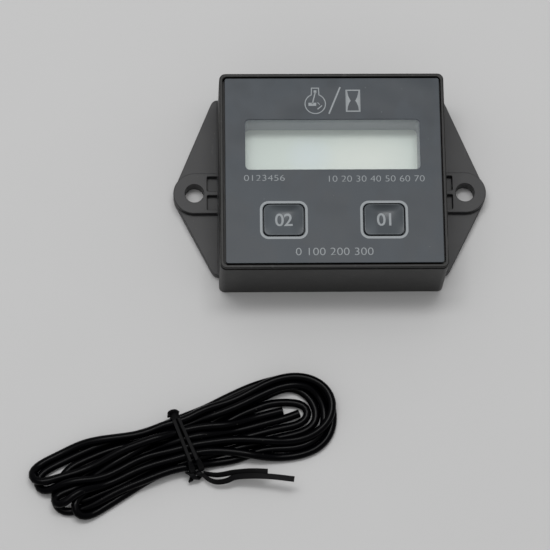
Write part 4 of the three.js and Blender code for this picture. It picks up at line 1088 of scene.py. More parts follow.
class MakeCase(bpy.types.Operator):
    """Moulds the case shell, with its lip, groove, window and key openings"""

    bl_idname = "hourmeter.make_case"
    bl_label = "Case shell"

    def execute(self, context):
        sizes = measures()
        case, mount, face = sizes.case, sizes.mount, sizes.face
        shell = self.walls(case)
        ledge = mount.thickness + LEDGE_RISE
        hollow = rounded(case.inner_x, case.inner_y, HOLLOW_CORNER)
        carve(shell, [
            loft("cavity", [at(hollow, ledge), at(hollow, case.inner_top)]),
            box("mouth", -case.inner_x, case.inner_x, case.mouth_y, case.inner_y, -PAST, ledge + OVERLAP),
            box("cover_space", -case.base_x - PAST, case.base_x + PAST, mount.south - COVER_GAP,
                case.base_y + PAST, -PAST, mount.thickness),
        ])
        posts, pillars = post_places(sizes), pillar_places()
        root = case.inner_top + OVERLAP
        carve(shell, [
            *[bar("post", POST_RADIUS, mount.thickness, root, place, BAR_SIDES) for place in posts],
            *[bar("pillar", PILLAR_RADIUS, PILLAR_FOOT, root, place, BAR_SIDES) for place in pillars],
        ], "UNION")
        hole_top = mount.thickness + POST_HOLE_DEPTH
        half_x, half_y = face.window_x + WINDOW_MARGIN, face.window_y + WINDOW_MARGIN
        carve(shell, [
            *self.face_bed(case, face),
            box("window", -half_x, half_x, face.window_rise - half_y, face.window_rise + half_y,
                case.inner_top - PAST, case.height + PAST),
            *key_cutters(sizes, [(0, case.inner_top - PAST), (0, case.height + PAST)]),
            *[bar("post_hole", POST_HOLE, -PAST, hole_top, place, HOLE_SIDES) for place in posts],
            *[bar("pillar_hole", PILLAR_HOLE, PILLAR_HOLE_FOOT, PILLAR_HOLE_TOP, place, HOLE_SIDES)
              for place in pillars],
        ])
        x, z, out = -face.key_x, mount.thickness + INLET_RISE, case.base_y + PAST
        carve(shell, [lying_bar("inlet", INLET_RADIUS, case.inner_y - PAST, out, x, z),
                      lying_bar("inlet_rebate", REBATE_RADIUS, case.base_y - REBATE_DEPTH, out, x, z)])
        finish_piece(shell, METER, "case_black", ["case_shell"])
        return {"FINISHED"}

    def walls(self, case):
        """The outside of the case: leaning walls, the groove and the rim, with eased edges."""
        shoulder = case.height - case.shoulder_drop
        lip = shoulder + case.groove
        base = rounded(case.base_x, case.base_y, case.corner)
        leaned = rounded(case.base_x - WALL_LEAN, case.base_y - WALL_LEAN, case.corner)
        rim = rounded(case.rim_x, case.rim_y, case.corner)
        cup = rounded(case.rim_x - CUP_INSET, case.rim_y - CUP_INSET, case.corner - CUP_INSET)
        return loft("case_shell_body", [
            *edged(base, CASE_FOOT), *edged(leaned, SHOULDER_EDGE, shoulder),
            *edged(cup, GROOVE_FOOT, shoulder), *edged(cup, GROOVE_TOP, lip),
            *edged(rim, LIP_FOOT, lip), *edged(rim, LIP_TOP, case.height),
        ])

    def face_bed(self, case, face):
        """Cutters for the bed inside the lip and for the moat round the film."""
        inner = rounded(case.rim_x - case.lip_width, case.rim_y - case.lip_width,
                        case.corner - case.lip_width / 2)
        recess = loft("recess", [at(inner, case.face_z), *edged(inner, RECESS_TOP, case.height)])
        moat = layered("moat", inner, [(0, case.face_z - MOAT_DEPTH), (0, case.face_z + MOAT_RISE)])
        bed = face.film_gap + BED_MARGIN
        carve(moat, [layered("island", inner, [(bed, case.face_z - PAST), (bed, case.face_z + PAST)])])
        return recess, moat


# Rear cover

# Fixed sizes of the cover, in millimetres
WING_BEND, EAR_GAP, FIT = 1.4, 0.3, 0.15
TONGUE_WIDTH, TONGUE_RISE, TONGUE_CLEAR = 1.1, 1.2, 2.9
POCKET_REACH, POCKET_HALF, POCKET_SPACE, POCKET_CORNER = 2.35, 1.79, 0.5, 0.25
WALL_LINE_DEPTH, WALL_LINE_RISE = 0.4, 3
HEAD_RADIUS, HEAD_DEPTH = 2.2, 1.4
GROOVE_HALF, GROOVE_DEPTH = 0.45, 0.8
BEND_POINTS, OUTLINE_POINTS, EAR_POINTS = 9, 65, 41

# Eased edges of the cover, as insets and heights: the plate's foot and top, the mouth of a screw
# head's pocket, an ear's top, a hole's two ends, and the floor and top of an ear's pocket
PLATE_FOOT = ((0.25, 0), (0.08, 0.05), (0, 0.2))
PLATE_TOP = ((0, -0.2), (0.06, -0.06), (0.2, 0))
HEAD_MOUTH = ((-0.5, -PAST), (-0.12, -0.01), (0, 0.15))
EAR_TOP = ((0, -0.35), (0.05, -0.16), (0.15, -0.04), (0.32, 0))
HOLE_FOOT = ((-1.2, -PAST), (-0.2, -0.01), (0, 0.2))
HOLE_TOP = ((0, -0.22), (-0.06, -0.06), (-0.24, 0.01), (-0.3, PAST))
POCKET_FLOOR = ((0.05, 0),)
POCKET_TOP = ((0, -0.1), (-0.12, 0.01), (-0.12, PAST))


def cover_outline(sizes):
    """The rear cover's outline: a plate with wing edges that run to two round ears."""
    mount = sizes.mount
    end_x, radius = sizes.case.base_x + mount.end_width, mount.ear_radius
    flat_x = end_x - WING_BEND
    share = np.linspace(0, 1, BEND_POINTS)[:, None]

    def touching(corner_y, turn):
        dx, dy = end_x - mount.hole_x, corner_y - mount.hole_y
        return math.atan2(dy, dx) + turn * math.acos(radius / math.hypot(dx, dy))

    def start_of_edge(corner_y, angle):
        corner = np.array((end_x, corner_y))
        middle = np.array((mount.hole_x, mount.hole_y))
        away = middle + radius * np.array((math.cos(angle), math.sin(angle))) - corner
        return corner + away * WING_BEND / np.linalg.norm(away)

    def bend(a, b, c):
        a, b, c = (np.array(point, float) for point in (a, b, c))
        return (1 - share) ** 2 * a + 2 * share * (1 - share) * b + share ** 2 * c

    south, north = touching(mount.south, 1), touching(mount.north, -1)
    right = np.vstack([
        bend((flat_x, mount.south), (end_x, mount.south), start_of_edge(mount.south, south)),
        arc(radius, (mount.hole_x, mount.hole_y), np.linspace(south, north, OUTLINE_POINTS)),
        bend(start_of_edge(mount.north, north), (end_x, mount.north), (flat_x, mount.north)),
    ])
    return np.vstack([right, right[::-1] * np.array((-1, 1))])


class MakeCover(bpy.types.Operator):
    """Moulds the rear cover with its wings, ears, holes and pockets"""

    bl_idname = "hourmeter.make_cover"
    bl_label = "Rear cover"

    def execute(self, context):
        sizes = measures()
        case, mount = sizes.case, sizes.mount
        thick = mount.thickness
        outline = cover_outline(sizes)
        cover = loft("rear_cover_plate", [*edged(outline, PLATE_FOOT), *edged(outline, PLATE_TOP, thick)])
        inner = case.base_x + EAR_GAP
        carve(cover, [self.ear(mount, inner, side) for side in (-1, 1)], "UNION")
        carve(cover, self.tongues(sizes), "UNION")
        cuts = []
        for side in (-1, 1):
            cuts += self.ear_cuts(sizes, inner, side)
        for place in post_places(sizes):
            cuts.append(bar("screw_hole", POST_HOLE, -PAST, thick + PAST, place, HOLE_SIDES))
            cuts.append(layered("head_pocket", circle(HEAD_RADIUS, place, BAR_SIDES),
                                [*HEAD_MOUTH, (0, HEAD_DEPTH)]))
        carve(cover, cuts)
        carve(cover, [self.groove(sizes)])
        finish_piece(cover, METER, "case_black", ["rear_cover"], "cover_black")
        return {"FINISHED"}

    def ear(self, mount, inner, side):
        """A raised ear: round outside, straight towards the case, with an eased top edge."""
        radius, top = mount.ear_radius, mount.ear_height
        angles = np.linspace(-math.pi / 2, math.pi / 2, EAR_POINTS) + (0 if side > 0 else math.pi)
        back = [(side * inner, mount.hole_y + side * radius), (side * inner, mount.hole_y - side * radius)]
        outline = np.vstack([arc(radius, (side * mount.hole_x, mount.hole_y), angles), back])
        rings = [at(outline, mount.thickness - OVERLAP), *edged(outline, EAR_TOP, top)]
        for ring in rings:
            ring[-2:, 0] = side * inner
        return loft("ear", rings)

    def tongues(self, sizes):
        """Four low walls that stand inside the case, between the posts."""
        case, posts = sizes.case, post_places(sizes)
        x, y, south = case.inner_x - FIT, case.inner_y - FIT, case.mouth_y + FIT
        side_y = (posts[2][1] + TONGUE_CLEAR, posts[0][1] - TONGUE_CLEAR)
        end_x = (posts[1][0] - TONGUE_CLEAR) * np.array((-1, 1))
        heights = (sizes.mount.thickness - OVERLAP, sizes.mount.thickness + TONGUE_RISE)
        spans = [((side * x, side * (x - TONGUE_WIDTH)), side_y) for side in (-1, 1)]
        spans += [(end_x, (y - TONGUE_WIDTH, y)), (end_x, (south, south + TONGUE_WIDTH))]
        return [box("tongue", *across, *along, *heights) for across, along in spans]

    def ear_cuts(self, sizes, inner, side):
        """Cutters for an ear's hole, its two pockets and the line along the case wall."""
        case, mount = sizes.case, sizes.mount
        thick, top = mount.thickness, mount.ear_height
        hole = circle(mount.hole / 2, (side * mount.hole_x, mount.hole_y))
        cuts = [loft("hole", [*edged(hole, HOLE_FOOT), *edged(hole, HOLE_TOP, top)])]
        far = inner + POCKET_REACH
        for row in (-1, 1):
            middle = ((case.base_x + far) / 2 * side, mount.hole_y + row * POCKET_SPACE + row * POCKET_HALF)
            pocket = rounded((far - case.base_x) / 2, POCKET_HALF, POCKET_CORNER, middle, steps=4)
            cuts.append(loft("pocket", [
                *edged(pocket, POCKET_FLOOR, thick), *edged(pocket, POCKET_TOP, top)]))
        cuts.append(box("wall_line", side * case.base_x, side * inner, mount.south - PAST,
                        mount.north + PAST, thick - WALL_LINE_DEPTH, thick + WALL_LINE_RISE))
        return cuts

    def groove(self, sizes):
        """A ring-shaped cutter for the gasket's groove."""
        case, mount = sizes.case, sizes.mount
        x = (case.inner_x + case.base_x) / 2
        north, south = (case.inner_y + mount.north) / 2, (case.mouth_y + mount.south) / 2
        half, thick = GROOVE_HALF, mount.thickness
        groove = box("groove", -x - half, x + half, south - half, north + half, thick - GROOVE_DEPTH,
                     thick + PAST)
        carve(groove, [box("island", -x + half, x - half, south + half, north - half, thick - 2 * PAST,
                           thick + 2 * PAST)])
        return groove


# Face

# Fixed sizes of the face, in millimetres; a hair is the width of an eased edge
HAIR = 0.06
FILM_CORNER, UNDER_FILM = 0.5, 0.02
NECK_WALL, NECK_CORNER, NECK_START, BODY_RISE = 1.5, 0.3, 1.0, 1.2
GLASS_GAP, WELL_GAP, PANE_GAP = 0.15, 0.05, 0.03
KEY_STEM, STEM_CORNER, KEY_FLANGE, KEY_RIM = 2, 0.8, 1, 0.2

# A key's points in a ring, the rings of its hollow, and the share of the rim at which they end
KEY_POINTS, HOLLOW_RINGS, HOLLOW_END = 120, 26, 0.02
KEY_SHARP = 38

# Eased edges with their heights: how far the film's openings grow, and how far the foot of a key,
# its flange and its top are inset
FILM_OPENING = ((0, -0.05), (HAIR, 0.01), (HAIR, PAST))
KEY_FOOT = ((0.1, 0), (0, 0.1))
FLANGE_TOP = ((0, -HAIR), (HAIR, 0))
KEY_TOP = ((0, -0.2), (0.02, -0.08), (0.07, -0.02), (0.14, 0))


class MakeFilm(bpy.types.Operator):
    """Cuts the printed face film"""

    bl_idname = "hourmeter.make_film"
    bl_label = "Face film"

    def execute(self, context):
        sizes = measures()
        case, face = sizes.case, sizes.face
        edge = case.lip_width + face.film_gap
        outline = rounded(case.rim_x - edge, case.rim_y - edge, FILM_CORNER,
                          (face.film_shift, face.film_shift))
        low, high = case.face_z, face.film_top
        film = layered("face_film", outline, [(0, low), (0, high - HAIR), (HAIR, high)])
        window = rounded(face.window_x, face.window_y, face.window_corner, (0, face.window_rise))
        opening = [(0, low - PAST), *((grow, high + rise) for grow, rise in FILM_OPENING)]
        carve(film, [layered("window", window, [(-grow, z) for grow, z in opening]),
                     *key_cutters(sizes, opening)])
        finish_piece(film, METER, "printed_film", ["face_overlay"])
        return {"FINISHED"}


class MakeWell(bpy.types.Operator):
    """Builds the grey frame whose walls run down to the display, and the clear pane between them"""

    bl_idname = "hourmeter.make_well"
    bl_label = "Display frame"

    def execute(self, context):
        sizes = measures()
        face, middle = sizes.face, (0, sizes.face.window_rise)
        low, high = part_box("display_frame")
        (x0, y0, z0), (x1, y1, z1) = ([value / MM for value in corner] for corner in (low, high))
        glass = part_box("display_front_glass")[1].z / MM
        under_film = sizes.case.face_z - UNDER_FILM
        body = box("display_frame_walls", x0, x1, y0, y1, z0, glass + BODY_RISE)
        neck = rounded(face.window_x + NECK_WALL, face.window_y + NECK_WALL, NECK_CORNER, middle, steps=3)
        carve(body, [loft("neck", [at(neck, glass + NECK_START), at(neck, under_film)])], "UNION")
        well = rounded(face.window_x - WELL_GAP, face.window_y - WELL_GAP, face.window_corner, middle)
        low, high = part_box("display_rear_glass")
        carve(body, [
            loft("well", [at(well, z0), at(well, under_film + PAST)]),
            box("pocket", low.x / MM - GLASS_GAP, high.x / MM + GLASS_GAP, low.y / MM - GLASS_GAP,
                high.y / MM + GLASS_GAP, z0 - PAST, glass),
        ])
        finish_piece(body, METER, "frame_grey", ["display_frame"])
        pane = layered("window_pane", inset(well, PANE_GAP), [
            (HAIR, z1), (0, z1 + HAIR), (0, under_film - HAIR), (HAIR, under_film)])
        finish_piece(pane, METER, "clear_lens", ["window_lens"])
        return {"FINISHED"}


def dish_height(face, side, x, y):
    """The height of a key's hollow at a place: steeper above its deepest line than below."""
    across = (x - side * face.key_x) / (face.opening_x - face.key_gap - KEY_RIM)
    half = face.opening_y - face.key_gap - KEY_RIM
    along = y - face.key_y - face.dish_offset
    reach, power = (half - face.dish_offset, 3) if along > 0 else (half + face.dish_offset, 2)
    fall = 1 - (along / reach) ** power
    return face.film_top + face.key_rise - face.dish * (1 - across ** 2) * fall


class MakeKeys(bpy.types.Operator):
    """Moulds the two hollowed keys"""

    bl_idname = "hourmeter.make_keys"
    bl_label = "Keys"

    def execute(self, context):
        sizes = measures()
        case, face = sizes.case, sizes.face
        under, top = case.inner_top, face.film_top + face.key_rise
        flange = under - KEY_FLANGE
        for side, word in ((-1, "left"), (1, "right")):
            centre = np.array((side * face.key_x, face.key_y))
            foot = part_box(f"key_{word}")[0].z / MM
            stem = spread(rounded(KEY_STEM, KEY_STEM, STEM_CORNER, centre), KEY_POINTS)
            wide = self.outline(face, centre, KEY_FLANGE)
            cap = self.outline(face, centre, -face.key_gap)
            edge = self.outline(face, centre, -face.key_gap - KEY_RIM)
            rings = [
                *edged(stem, KEY_FOOT, foot), at(stem, flange), *edged(wide, KEY_FOOT, flange),
                *edged(wide, FLANGE_TOP, under), at(cap, under), *edged(cap, KEY_TOP, top),
            ]
            for share in np.linspace(1, HOLLOW_END, HOLLOW_RINGS):
                ring = centre + (edge - centre) * share
                heights = [dish_height(face, side, *point) for point in ring]
                rings.append(np.column_stack([ring, heights]))
            key = loft(f"key_cap_{word}", rings)
            finish_piece(key, f"{word}_key", "key_black", [f"key_{word}"], sharp=KEY_SHARP)
        return {"FINISHED"}

    def outline(self, face, centre, grow):
        """The outline of a key's opening, grown by a distance, with its points spread evenly."""
        ring = rounded(face.opening_x + grow, face.opening_y + grow, face.key_corner + grow, centre)
        return spread(ring, KEY_POINTS)


# Print

# Fixed sizes of the print, in millimetres, and the height of a number as a share of the text's size
PRINT_DEPTH, PRINT_LIFT, LEGEND_LIFT = 0.02, 0.002, 0.01
NUMBER_SHARE = 0.7
PRINT_BOLD, RING_GROW, RING_CORNER, RING_WIDTH = -0.03, (0.4, 0.35), 1.7, 0.55
LEGEND_HEIGHT, LEGEND_BOLD, LEGEND_SPACING, LEGEND_RISE = 3, 0.05, 0.94, 0.2
LEGEND_REACH, LEGEND_CELL = 4, 0.5
PRINT_SHARP = 60


def lettering(text, height, bold, spacing=1.0):
    """A row of numbers as a flat mesh in millimetres, centred on its own middle."""
    curve = bpy.data.curves.new("numbers", "FONT")
    curve.body = text
    curve.size = height / NUMBER_SHARE
    curve.offset = bold
    curve.space_character = spacing
    curve.align_x, curve.align_y = "LEFT", "BOTTOM"
    holder = linked("numbers", curve)
    bpy.context.view_layer.update()
    mesh = evaluated(holder)
    bpy.data.objects.remove(holder)
    points = np.array([v.co for v in mesh.vertices])
    cells = [tuple(face.vertices) for face in mesh.polygons]
    return points - (points.min(0) + points.max(0)) / 2, cells


def stroke(points, width, closed=False):
    """A flat line of even width as outline points and faces."""
    points = np.array(points, float)
    count = len(points)
    if closed:
        earlier, later = np.roll(points, 1, 0), np.roll(points, -1, 0)
    else:
        earlier = np.vstack([2 * points[:1] - points[1:2], points[:-1]])
        later = np.vstack([points[1:], 2 * points[-1:] - points[-2:-1]])
    move = sideways(points - earlier, later - points, width / 2, limit=0.4)
    last = count if closed else count - 1
    faces = [(count + i, count + (i + 1) % count, (i + 1) % count, i) for i in range(last)]
    return np.vstack([points + move, points - move]), faces


def print_plate(name, flats, lift):
    """Flat shapes as a thin printed layer; lift gives the height under each point."""
    points, faces = [], []
    for outline, cells in flats:
        start, count = len(points), len(outline)
        for rise in (0, PRINT_DEPTH):
            points += [(x, y, lift(x, y) + rise) for x, y in outline]
        edges = {}
        for cell in cells:
            faces.append(tuple(start + count + v for v in cell))
            faces.append(tuple(start + v for v in reversed(cell)))
            for a, b in zip(cell, cell[1:] + cell[:1]):
                edges[(a, b)] = True
        for a, b in edges:
            if (b, a) not in edges:
                faces.append((start + a, start + b, start + count + b, start + count + a))
    return shape(name, points, faces)


# The rows of numbers on the film: text, left and right end, middle line and height
PRINT_ROWS = (
    ("0123456", -20.4, -11.1, -1.85, 1.45),
    ("10 20 30 40 50 60 70", -1.0, 20.9, -2.1, 1.5),
    ("0 100 200 300", -8.8, 8.8, -19.4, 1.8),
)

# The straight strokes of the two symbols and the slash: places, width, closed or not
SYMBOL_STROKES = (
    (((-4.15, 19.0), (-3.5, 19.0)), 0.6, False),
    (((-3.78, 18.8), (-4.5, 16.0)), 0.28, False),
    (((-5.4, 15.9), (-3.6, 15.9)), 0.75, False),
    (((-3.4, 16.25), (-3.1, 16.2), (-2.8, 15.8)), 0.15, False),
    (((-3.33, 14.7), (-2.85, 15.1), (-2.26, 15.62)), 0.24, False),
    (((1.96, 20.07), (-0.7, 13.59)), 0.36, False),
    (((3.35, 14.2), (6.43, 14.2), (6.43, 19.3), (3.35, 19.3)), 0.28, True),
)

# The engine outline: a round bowl, open at its neck
BOWL_X, BOWL_Y, BOWL_RADIUS, BOWL_WIDTH = -3.83, 16.0, 2.35, 0.22
BOWL_ANGLES = np.radians(np.linspace(112, 428, 48))
BOWL_NECK = ((-3.0, 19.3), (-3.0, 19.85), (-4.66, 19.85), (-4.66, 19.3))

# The hourglass, from its top: heights, and how far the print reaches in from each side
GLASS_X, GLASS_HALF = 4.89, 1.44
GLASS_HEIGHTS = (19.2, 18.6, 17.75, 17.15, 16.75, 16.25, 15.3, 14.3)
GLASS_FILL = (0.15, 0.22, 0.42, 0.7, 0.92, 0.58, 0.24, 0.12)


class MakePrint(bpy.types.Operator):
    """Prints the plain marks on the film and the numbers on the keys"""

    bl_idname = "hourmeter.make_print"
    bl_label = "Printed marks"

    def execute(self, context):
        face = measures().face
        flats = []
        for side in (-1, 1):
            ring = rounded(face.opening_x + RING_GROW[0], face.opening_y + RING_GROW[1], RING_CORNER,
                           (side * face.key_x, face.key_y), steps=8)
            flats.append(stroke(ring, RING_WIDTH, True))
        for text, x0, x1, y, height in PRINT_ROWS:
            points, cells = lettering(text, height, PRINT_BOLD)
            scale = (x1 - x0) / (points[:, 0].max() - points[:, 0].min())
            flats.append((points[:, :2] * (scale, 1) + ((x0 + x1) / 2, y), cells))
        flats += self.symbols()
        marks = print_plate("face_print", flats, lambda x, y: face.film_top + PRINT_LIFT)
        finish_piece(marks, METER, "printed_film", (), "screen_print", PRINT_SHARP)
        for side, word, text in ((-1, "left", "02"), (1, "right", "01")):
            flat = lettering(text, LEGEND_HEIGHT, LEGEND_BOLD, LEGEND_SPACING)
            points, cells = self.split(*flat)
            placed = points[:, :2] + (side * face.key_x, face.key_y + LEGEND_RISE)
            legend = print_plate(f"key_print_{word}", [(placed, cells)],
                                 lambda x, y, side=side: dish_height(face, side, x, y) + LEGEND_LIFT)
            finish_piece(legend, f"{word}_key", "key_black", (), "screen_print", PRINT_SHARP)
        return {"FINISHED"}

    def symbols(self):
        """A plain engine outline, a slash and an hourglass."""
        bowl = [*arc(BOWL_RADIUS, (BOWL_X, BOWL_Y), BOWL_ANGLES), *BOWL_NECK]
        flats = [stroke(bowl, BOWL_WIDTH, True), *[stroke(*line) for line in SYMBOL_STROKES]]
        heights, fill, last = np.array(GLASS_HEIGHTS), np.array(GLASS_FILL), len(GLASS_FILL)
        for way in (-1, 1):
            outer = np.column_stack([GLASS_X + way * np.full(last, GLASS_HALF), heights])
            inner = np.column_stack([GLASS_X + way * (GLASS_HALF - fill), heights])
            cells = [(i, i + 1, last + i + 1, last + i)[::-way] for i in range(last - 1)]
            flats.append((np.vstack([outer, inner]), cells))
        return flats

    def split(self, points, cells):
        """Cuts a flat mesh into small pieces, so that it can follow a hollow."""
        grid = shape("legend", at(points[:, :2], 0), cells)
        mesh = bmesh.new()
        mesh.from_mesh(grid.data)
        bpy.data.objects.remove(grid)
        for axis in ((1, 0, 0), (0, 1, 0)):
            for step in np.arange(-LEGEND_REACH, LEGEND_REACH + LEGEND_CELL / 2, LEGEND_CELL):
                bmesh.ops.bisect_plane(mesh, geom=[*mesh.verts, *mesh.edges, *mesh.faces],
                                       plane_co=Vector(axis) * float(step), plane_no=axis)
        mesh.verts.index_update()
        points = np.array([v.co for v in mesh.verts])
        cells = [tuple(v.index for v in cell.verts) for cell in mesh.faces]
        mesh.free()
        return points, cells


# Screws

# A screw's proportions: the height of its head's eased edge and the radius there, how far the recess
# reaches across and up, the root and the ridge, and the thread's length and start
HEAD_EASE, HEAD_EDGE = 0.35, 0.78
RECESS_REACH, RECESS_RISE = 1.25, 1.1
ROOT, RIDGE, THREAD, THREAD_START = 0.8, 0.2, 0.86, 0.07

# Each screw is turned by chance about its own axis, up to this angle, from this seed
LARGEST_TURN, SEED = (0, 0, 6.28), 7


class Tree(Nodes):
    """A Geometry Nodes tree with named sizes, which puts one made thing on every point."""

    def __init__(self, name, sizes):
        super().__init__(bpy.data.node_groups.new(name, "GeometryNodeTree"))
        socket = self.tree.interface.new_socket
        for way in ("INPUT", "OUTPUT"):
            socket("Geometry", in_out=way, socket_type="NodeSocketGeometry")
        self.identifiers = {
            label: socket(label, in_out="INPUT", socket_type="NodeSocketFloat").identifier
            for label in sizes}
        self.entry = self.add("NodeGroupInput").outputs

    def raised(self, geometry, height):
        """A geometry moved up."""
        up = self.wire("ShaderNodeCombineXYZ", {"Z": height})
        return self.wire("GeometryNodeTransform", {"Geometry": geometry, "Translation": up})

    def rod(self, radius, depth):
        """A round bar that stands on zero."""
        middle = self.wire("GeometryNodeMeshCylinder", {
            "Vertices": BAR_SIDES, "Radius": radius, "Depth": depth})
        return self.raised(middle, depth * 0.5)

    def placed(self, made, material):
        """Puts the made thing on every point, each turned by chance, as one plain mesh."""
        chance = self.wire("FunctionNodeRandomValue", {
            "Min": (0, 0, 0), "Max": LARGEST_TURN, "Seed": SEED}, {"data_type": "FLOAT_VECTOR"})
        points = Wire(self, self.entry["Geometry"])
        spots = self.wire("GeometryNodeInstanceOnPoints", {
            "Points": points, "Instance": made, "Rotation": chance})
        real = self.wire("GeometryNodeRealizeInstances", {"Geometry": spots})
        done = self.wire("GeometryNodeSetMaterial", {"Geometry": real, "Material": MATERIALS[material]})
        self.add("NodeGroupOutput", {0: done})


SCREW_SIZES = ("Head radius", "Head height", "Shank radius", "Shank length", "Thread pitch", "Recess width")


def screw_tree():
    """A cross-recessed screw with its head down and its thread up."""
    tree = Tree("screw", SCREW_SIZES)
    radius, height, core, reach, pitch, width = (Wire(tree, tree.entry[label]) for label in SCREW_SIZES)
    edge = height * HEAD_EASE
    cone = tree.wire("GeometryNodeMeshCone", {
        "Vertices": BAR_SIDES, "Radius Bottom": radius * HEAD_EDGE, "Radius Top": radius, "Depth": edge})
    head = tree.raised(tree.rod(radius, height * (1 - HEAD_EASE)), edge)
    arms = []
    for long, short in (("X", "Y"), ("Y", "X")):
        size = tree.wire("ShaderNodeCombineXYZ", {
            long: radius * RECESS_REACH, short: width, "Z": height * RECESS_RISE})
        arms.append(tree.wire("GeometryNodeMeshCube", {"Size": size}))
    parts = [tree.wire("GeometryNodeMeshBoolean", {"Mesh 1": part, "Mesh 2": arms},
                       {"operation": "DIFFERENCE"}) for part in (cone, head)]
    root = core * ROOT
    parts.append(tree.raised(tree.rod(root, reach), height))
    thread = reach * THREAD
    spiral = tree.wire("GeometryNodeCurveSpiral", {
        "Resolution": 24, "Rotations": thread / pitch, "Start Radius": root, "End Radius": root,
        "Height": thread})
    ridge = tree.wire("GeometryNodeCurvePrimitiveCircle", {"Resolution": 4, "Radius": core * RIDGE})
    ridged = tree.wire("GeometryNodeCurveToMesh", {
        "Curve": spiral, "Profile Curve": ridge, "Fill Caps": True})
    parts.append(tree.raised(ridged, height + reach * THREAD_START))
    tree.placed(tree.wire("GeometryNodeJoinGeometry", {"Geometry": parts}), "bright_steel")
    return tree


COVER_SCREWS = ("cover_screw_top_left", "cover_screw_top_right", "cover_screw_bottom_left",
                "cover_screw_bottom_right")

# Each group of screws: its name, the CAD nodes, the head's height and the shank's radius
SCREW_GROUPS = (("cover_screws", COVER_SCREWS, 1.1, 1.0), ("board_screws", BOARD_SCREWS, 1.2, 0.8))
THREAD_PITCH = 0.7
RECESS_WIDTH = 0.55


class MakeScrews(bpy.types.Operator):
    """Drives the cover and board screws, with cross recesses and threads"""

    bl_idname = "hourmeter.make_screws"
    bl_label = "Screws"

    def execute(self, context):
        tree = screw_tree()
        for name, nodes, head, shank in SCREW_GROUPS:
            low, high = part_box(nodes[0])
            screws = shape(name, [standing_at(node) for node in nodes], [])
            sizes = ((high.x - low.x) / 2 / MM, head, shank, (high.z - low.z) / MM - head, THREAD_PITCH,
                     RECESS_WIDTH)
            step = screws.modifiers.new("screws", "NODES")
            step.node_group = tree.tree
            for label, value in zip(SCREW_SIZES, sizes):
                step[tree.identifiers[label]] = value
            bake(screws)
            finish_piece(screws, METER, "bright_steel", nodes)
        return {"FINISHED"}


# Inner pieces

INNER_FINISHES = {
    "display_glass": ("display_front_glass", "display_rear_glass"),
    "reflector_film": ("display_reflector",),
    "black_rubber": ("contact_strip_top", "contact_strip_bottom", "inlet_bush", "cover_gasket"),
    "board_green": ("circuit_board",),
    "frame_grey": ("switch_plunger_left", "switch_plunger_right"),
    "component_black": ("switch_body_left", "switch_body_right", "cell_holder", "counter_chip"),
    "component_tan": ("capacitor_left", "capacitor_right", "resistor_left", "resistor_right"),
    "bright_steel": ("coin_cell", "cell_clip", "timing_crystal", "terminal_screw"),
    "terminal_brass": ("lead_terminal",),
}


class DressInside(bpy.types.Operator):
    """Gives the pieces inside the meter their finishes"""

    bl_idname = "hourmeter.dress_inside"
    bl_label = "Inner pieces"

    def execute(self, context):
        for material, nodes in INNER_FINISHES.items():
            for node in nodes:
                dress(node, material)
        return {"FINISHED"}


# Stage

# The camera: its angles, the place it looks at and its distance, lens and sensor in millimetres,
# and the nearest that it sees in metres
AZIMUTH, ELEVATION, ROLL = math.radians(-6.23), math.radians(74.22), math.radians(5.71)
LOOKED_AT, DISTANCE = (-13.02, -19.36, 0), 607.95
LENS, SENSOR, NEAR = 170.2, 36, 0.02

# The lamps: name, place and size in metres, and power
LAMPS = (
    ("window_light", (-0.05, 0.21, 0.96), (0.55, 0.16), 3.5),
    ("top_light", (-0.1, 0.12, 1.1), (1.0, 1.0), 4.1),
)
LAMPS_AIM = (-0.01, -0.02, 0)
FLOOR_HALF = 1600

# The sky: how far south and north it changes, its strength there, and where the camera sees it
SOUTH_END, NORTH_END = -0.7, 0.8
SKY_SOUTH, SKY_NORTH, SKY_SEEN = 0.34, 0.5, 0.8


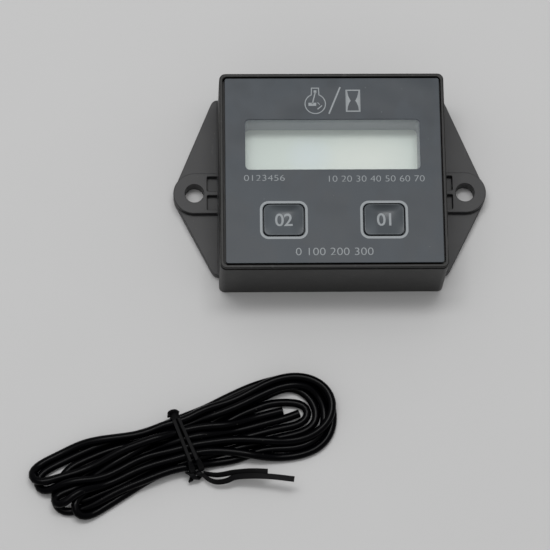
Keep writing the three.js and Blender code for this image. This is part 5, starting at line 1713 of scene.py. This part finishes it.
class MakeStage(bpy.types.Operator):
    """Sets the floor, the light and the camera"""

    bl_idname = "hourmeter.make_stage"
    bl_label = "Stage"

    def execute(self, context):
        context.scene.view_settings.view_transform = "Standard"
        self.camera(context.scene)
        self.floor(linear(context.scene.hour_meter.colours.floor))
        for lamp in LAMPS:
            self.lamp(*lamp)
        self.sky(context.scene)
        return {"FINISHED"}

    def camera(self, scene):
        """Puts the camera where the photograph was taken from."""
        back = Vector((math.sin(AZIMUTH) * math.cos(ELEVATION), -math.cos(AZIMUTH) * math.cos(ELEVATION),
                       math.sin(ELEVATION)))
        right = Vector((math.cos(AZIMUTH), math.sin(AZIMUTH), 0))
        up = right.cross(-back)
        across = math.cos(ROLL) * right + math.sin(ROLL) * up
        high = -math.sin(ROLL) * right + math.cos(ROLL) * up
        lens = bpy.data.cameras.new("camera")
        lens.lens, lens.sensor_width, lens.clip_start = LENS, SENSOR, NEAR
        scene.camera = linked("camera", lens)
        turn = Matrix((across, high, back)).transposed().to_4x4()
        place = (Vector(LOOKED_AT) + back * DISTANCE) * MM
        scene.camera.matrix_world = Matrix.Translation(place) @ turn

    def floor(self, tone):
        """A plain floor with a faint cloud of its own tone."""
        half = FLOOR_HALF
        plane = shape("floor", [(-half, -half, 0), (half, -half, 0), (half, half, 0), (-half, half, 0)],
                      [(0, 1, 2, 3)])
        plane.data.transform(Matrix.Scale(MM, 4))
        finish = Finish("floor_card", Specular_IOR_Level=0.15, Roughness=0.75)
        finish.feed(Base_Color=finish.mix(finish.noise(40, 3, 0.6), tinted(tone, 0.97), tone))
        plane.data.materials.append(finish.material)

    def lamp(self, name, place, size, power):
        """A flat lamp that faces the meter."""
        lamp = bpy.data.lights.new(name, "AREA")
        lamp.shape, lamp.energy = "RECTANGLE", power
        lamp.size, lamp.size_y = size
        holder = linked(name, lamp)
        holder.location = place
        holder.rotation_mode = "QUATERNION"
        holder.rotation_quaternion = (Vector(LAMPS_AIM) - Vector(place)).to_track_quat("-Z", "Y")

    def sky(self, scene):
        """A plain sky, a little lighter to the north, and pale where the camera sees it."""
        scene.world = bpy.data.worlds.new("studio")
        scene.world.use_nodes = True
        nodes = Nodes(scene.world.node_tree)
        place = nodes.wire("ShaderNodeTexCoord", out="Generated")
        level = nodes.wire("ShaderNodeMapRange", {
            "Value": nodes.wire("ShaderNodeSeparateXYZ", {0: place}, out="Y"),
            "From Min": SOUTH_END, "From Max": NORTH_END, "To Min": SKY_SOUTH, "To Max": SKY_NORTH})
        seen = nodes.wire("ShaderNodeLightPath", out="Is Camera Ray")
        strength = nodes.wire("ShaderNodeMix", {0: seen, 2: level, 3: SKY_SEEN})
        sky = nodes.wire("ShaderNodeBackground", {"Color": (1, 1, 1, 1), "Strength": strength})
        nodes.add("ShaderNodeOutputWorld", {"Surface": sky})


# Add-on


STEPS = (MixFinishes, MakeStage, MakeLead, MakeTie, MakeCase, MakeCover, MakeFilm, MakeWell, MakeKeys,
         MakePrint, MakeScrews, DressInside)


class HourMeterPanel(bpy.types.Panel):
    """Lists the steps that build the hour meter, with its sizes and colours"""

    bl_idname = "VIEW3D_PT_hour_meter"
    bl_label = "Engine hour meter"
    bl_space_type = "VIEW_3D"
    bl_region_type = "UI"
    bl_category = "Hour meter"

    def draw(self, context):
        for step in STEPS:
            self.layout.operator(step.bl_idname)
        settings = context.scene.hour_meter
        for group in (settings.case, settings.mount, settings.face, settings.hank, settings.colours):
            for name in group.__annotations__:
                self.layout.prop(group, name)


CLASSES = (CaseSizes, MountSizes, FaceSizes, HankSizes, FinishColours, MeterSettings, *STEPS, HourMeterPanel)


def register():
    for made in CLASSES:
        bpy.utils.register_class(made)
    bpy.types.Scene.hour_meter = bpy.props.PointerProperty(type=MeterSettings)


def unregister():
    del bpy.types.Scene.hour_meter
    for made in reversed(CLASSES):
        bpy.utils.unregister_class(made)


def main():
    """Builds the whole meter."""
    register()
    for step in STEPS:
        group, name = step.bl_idname.split(".")
        getattr(getattr(bpy.ops, group), name)()


if __name__ == "__main__":
    main()
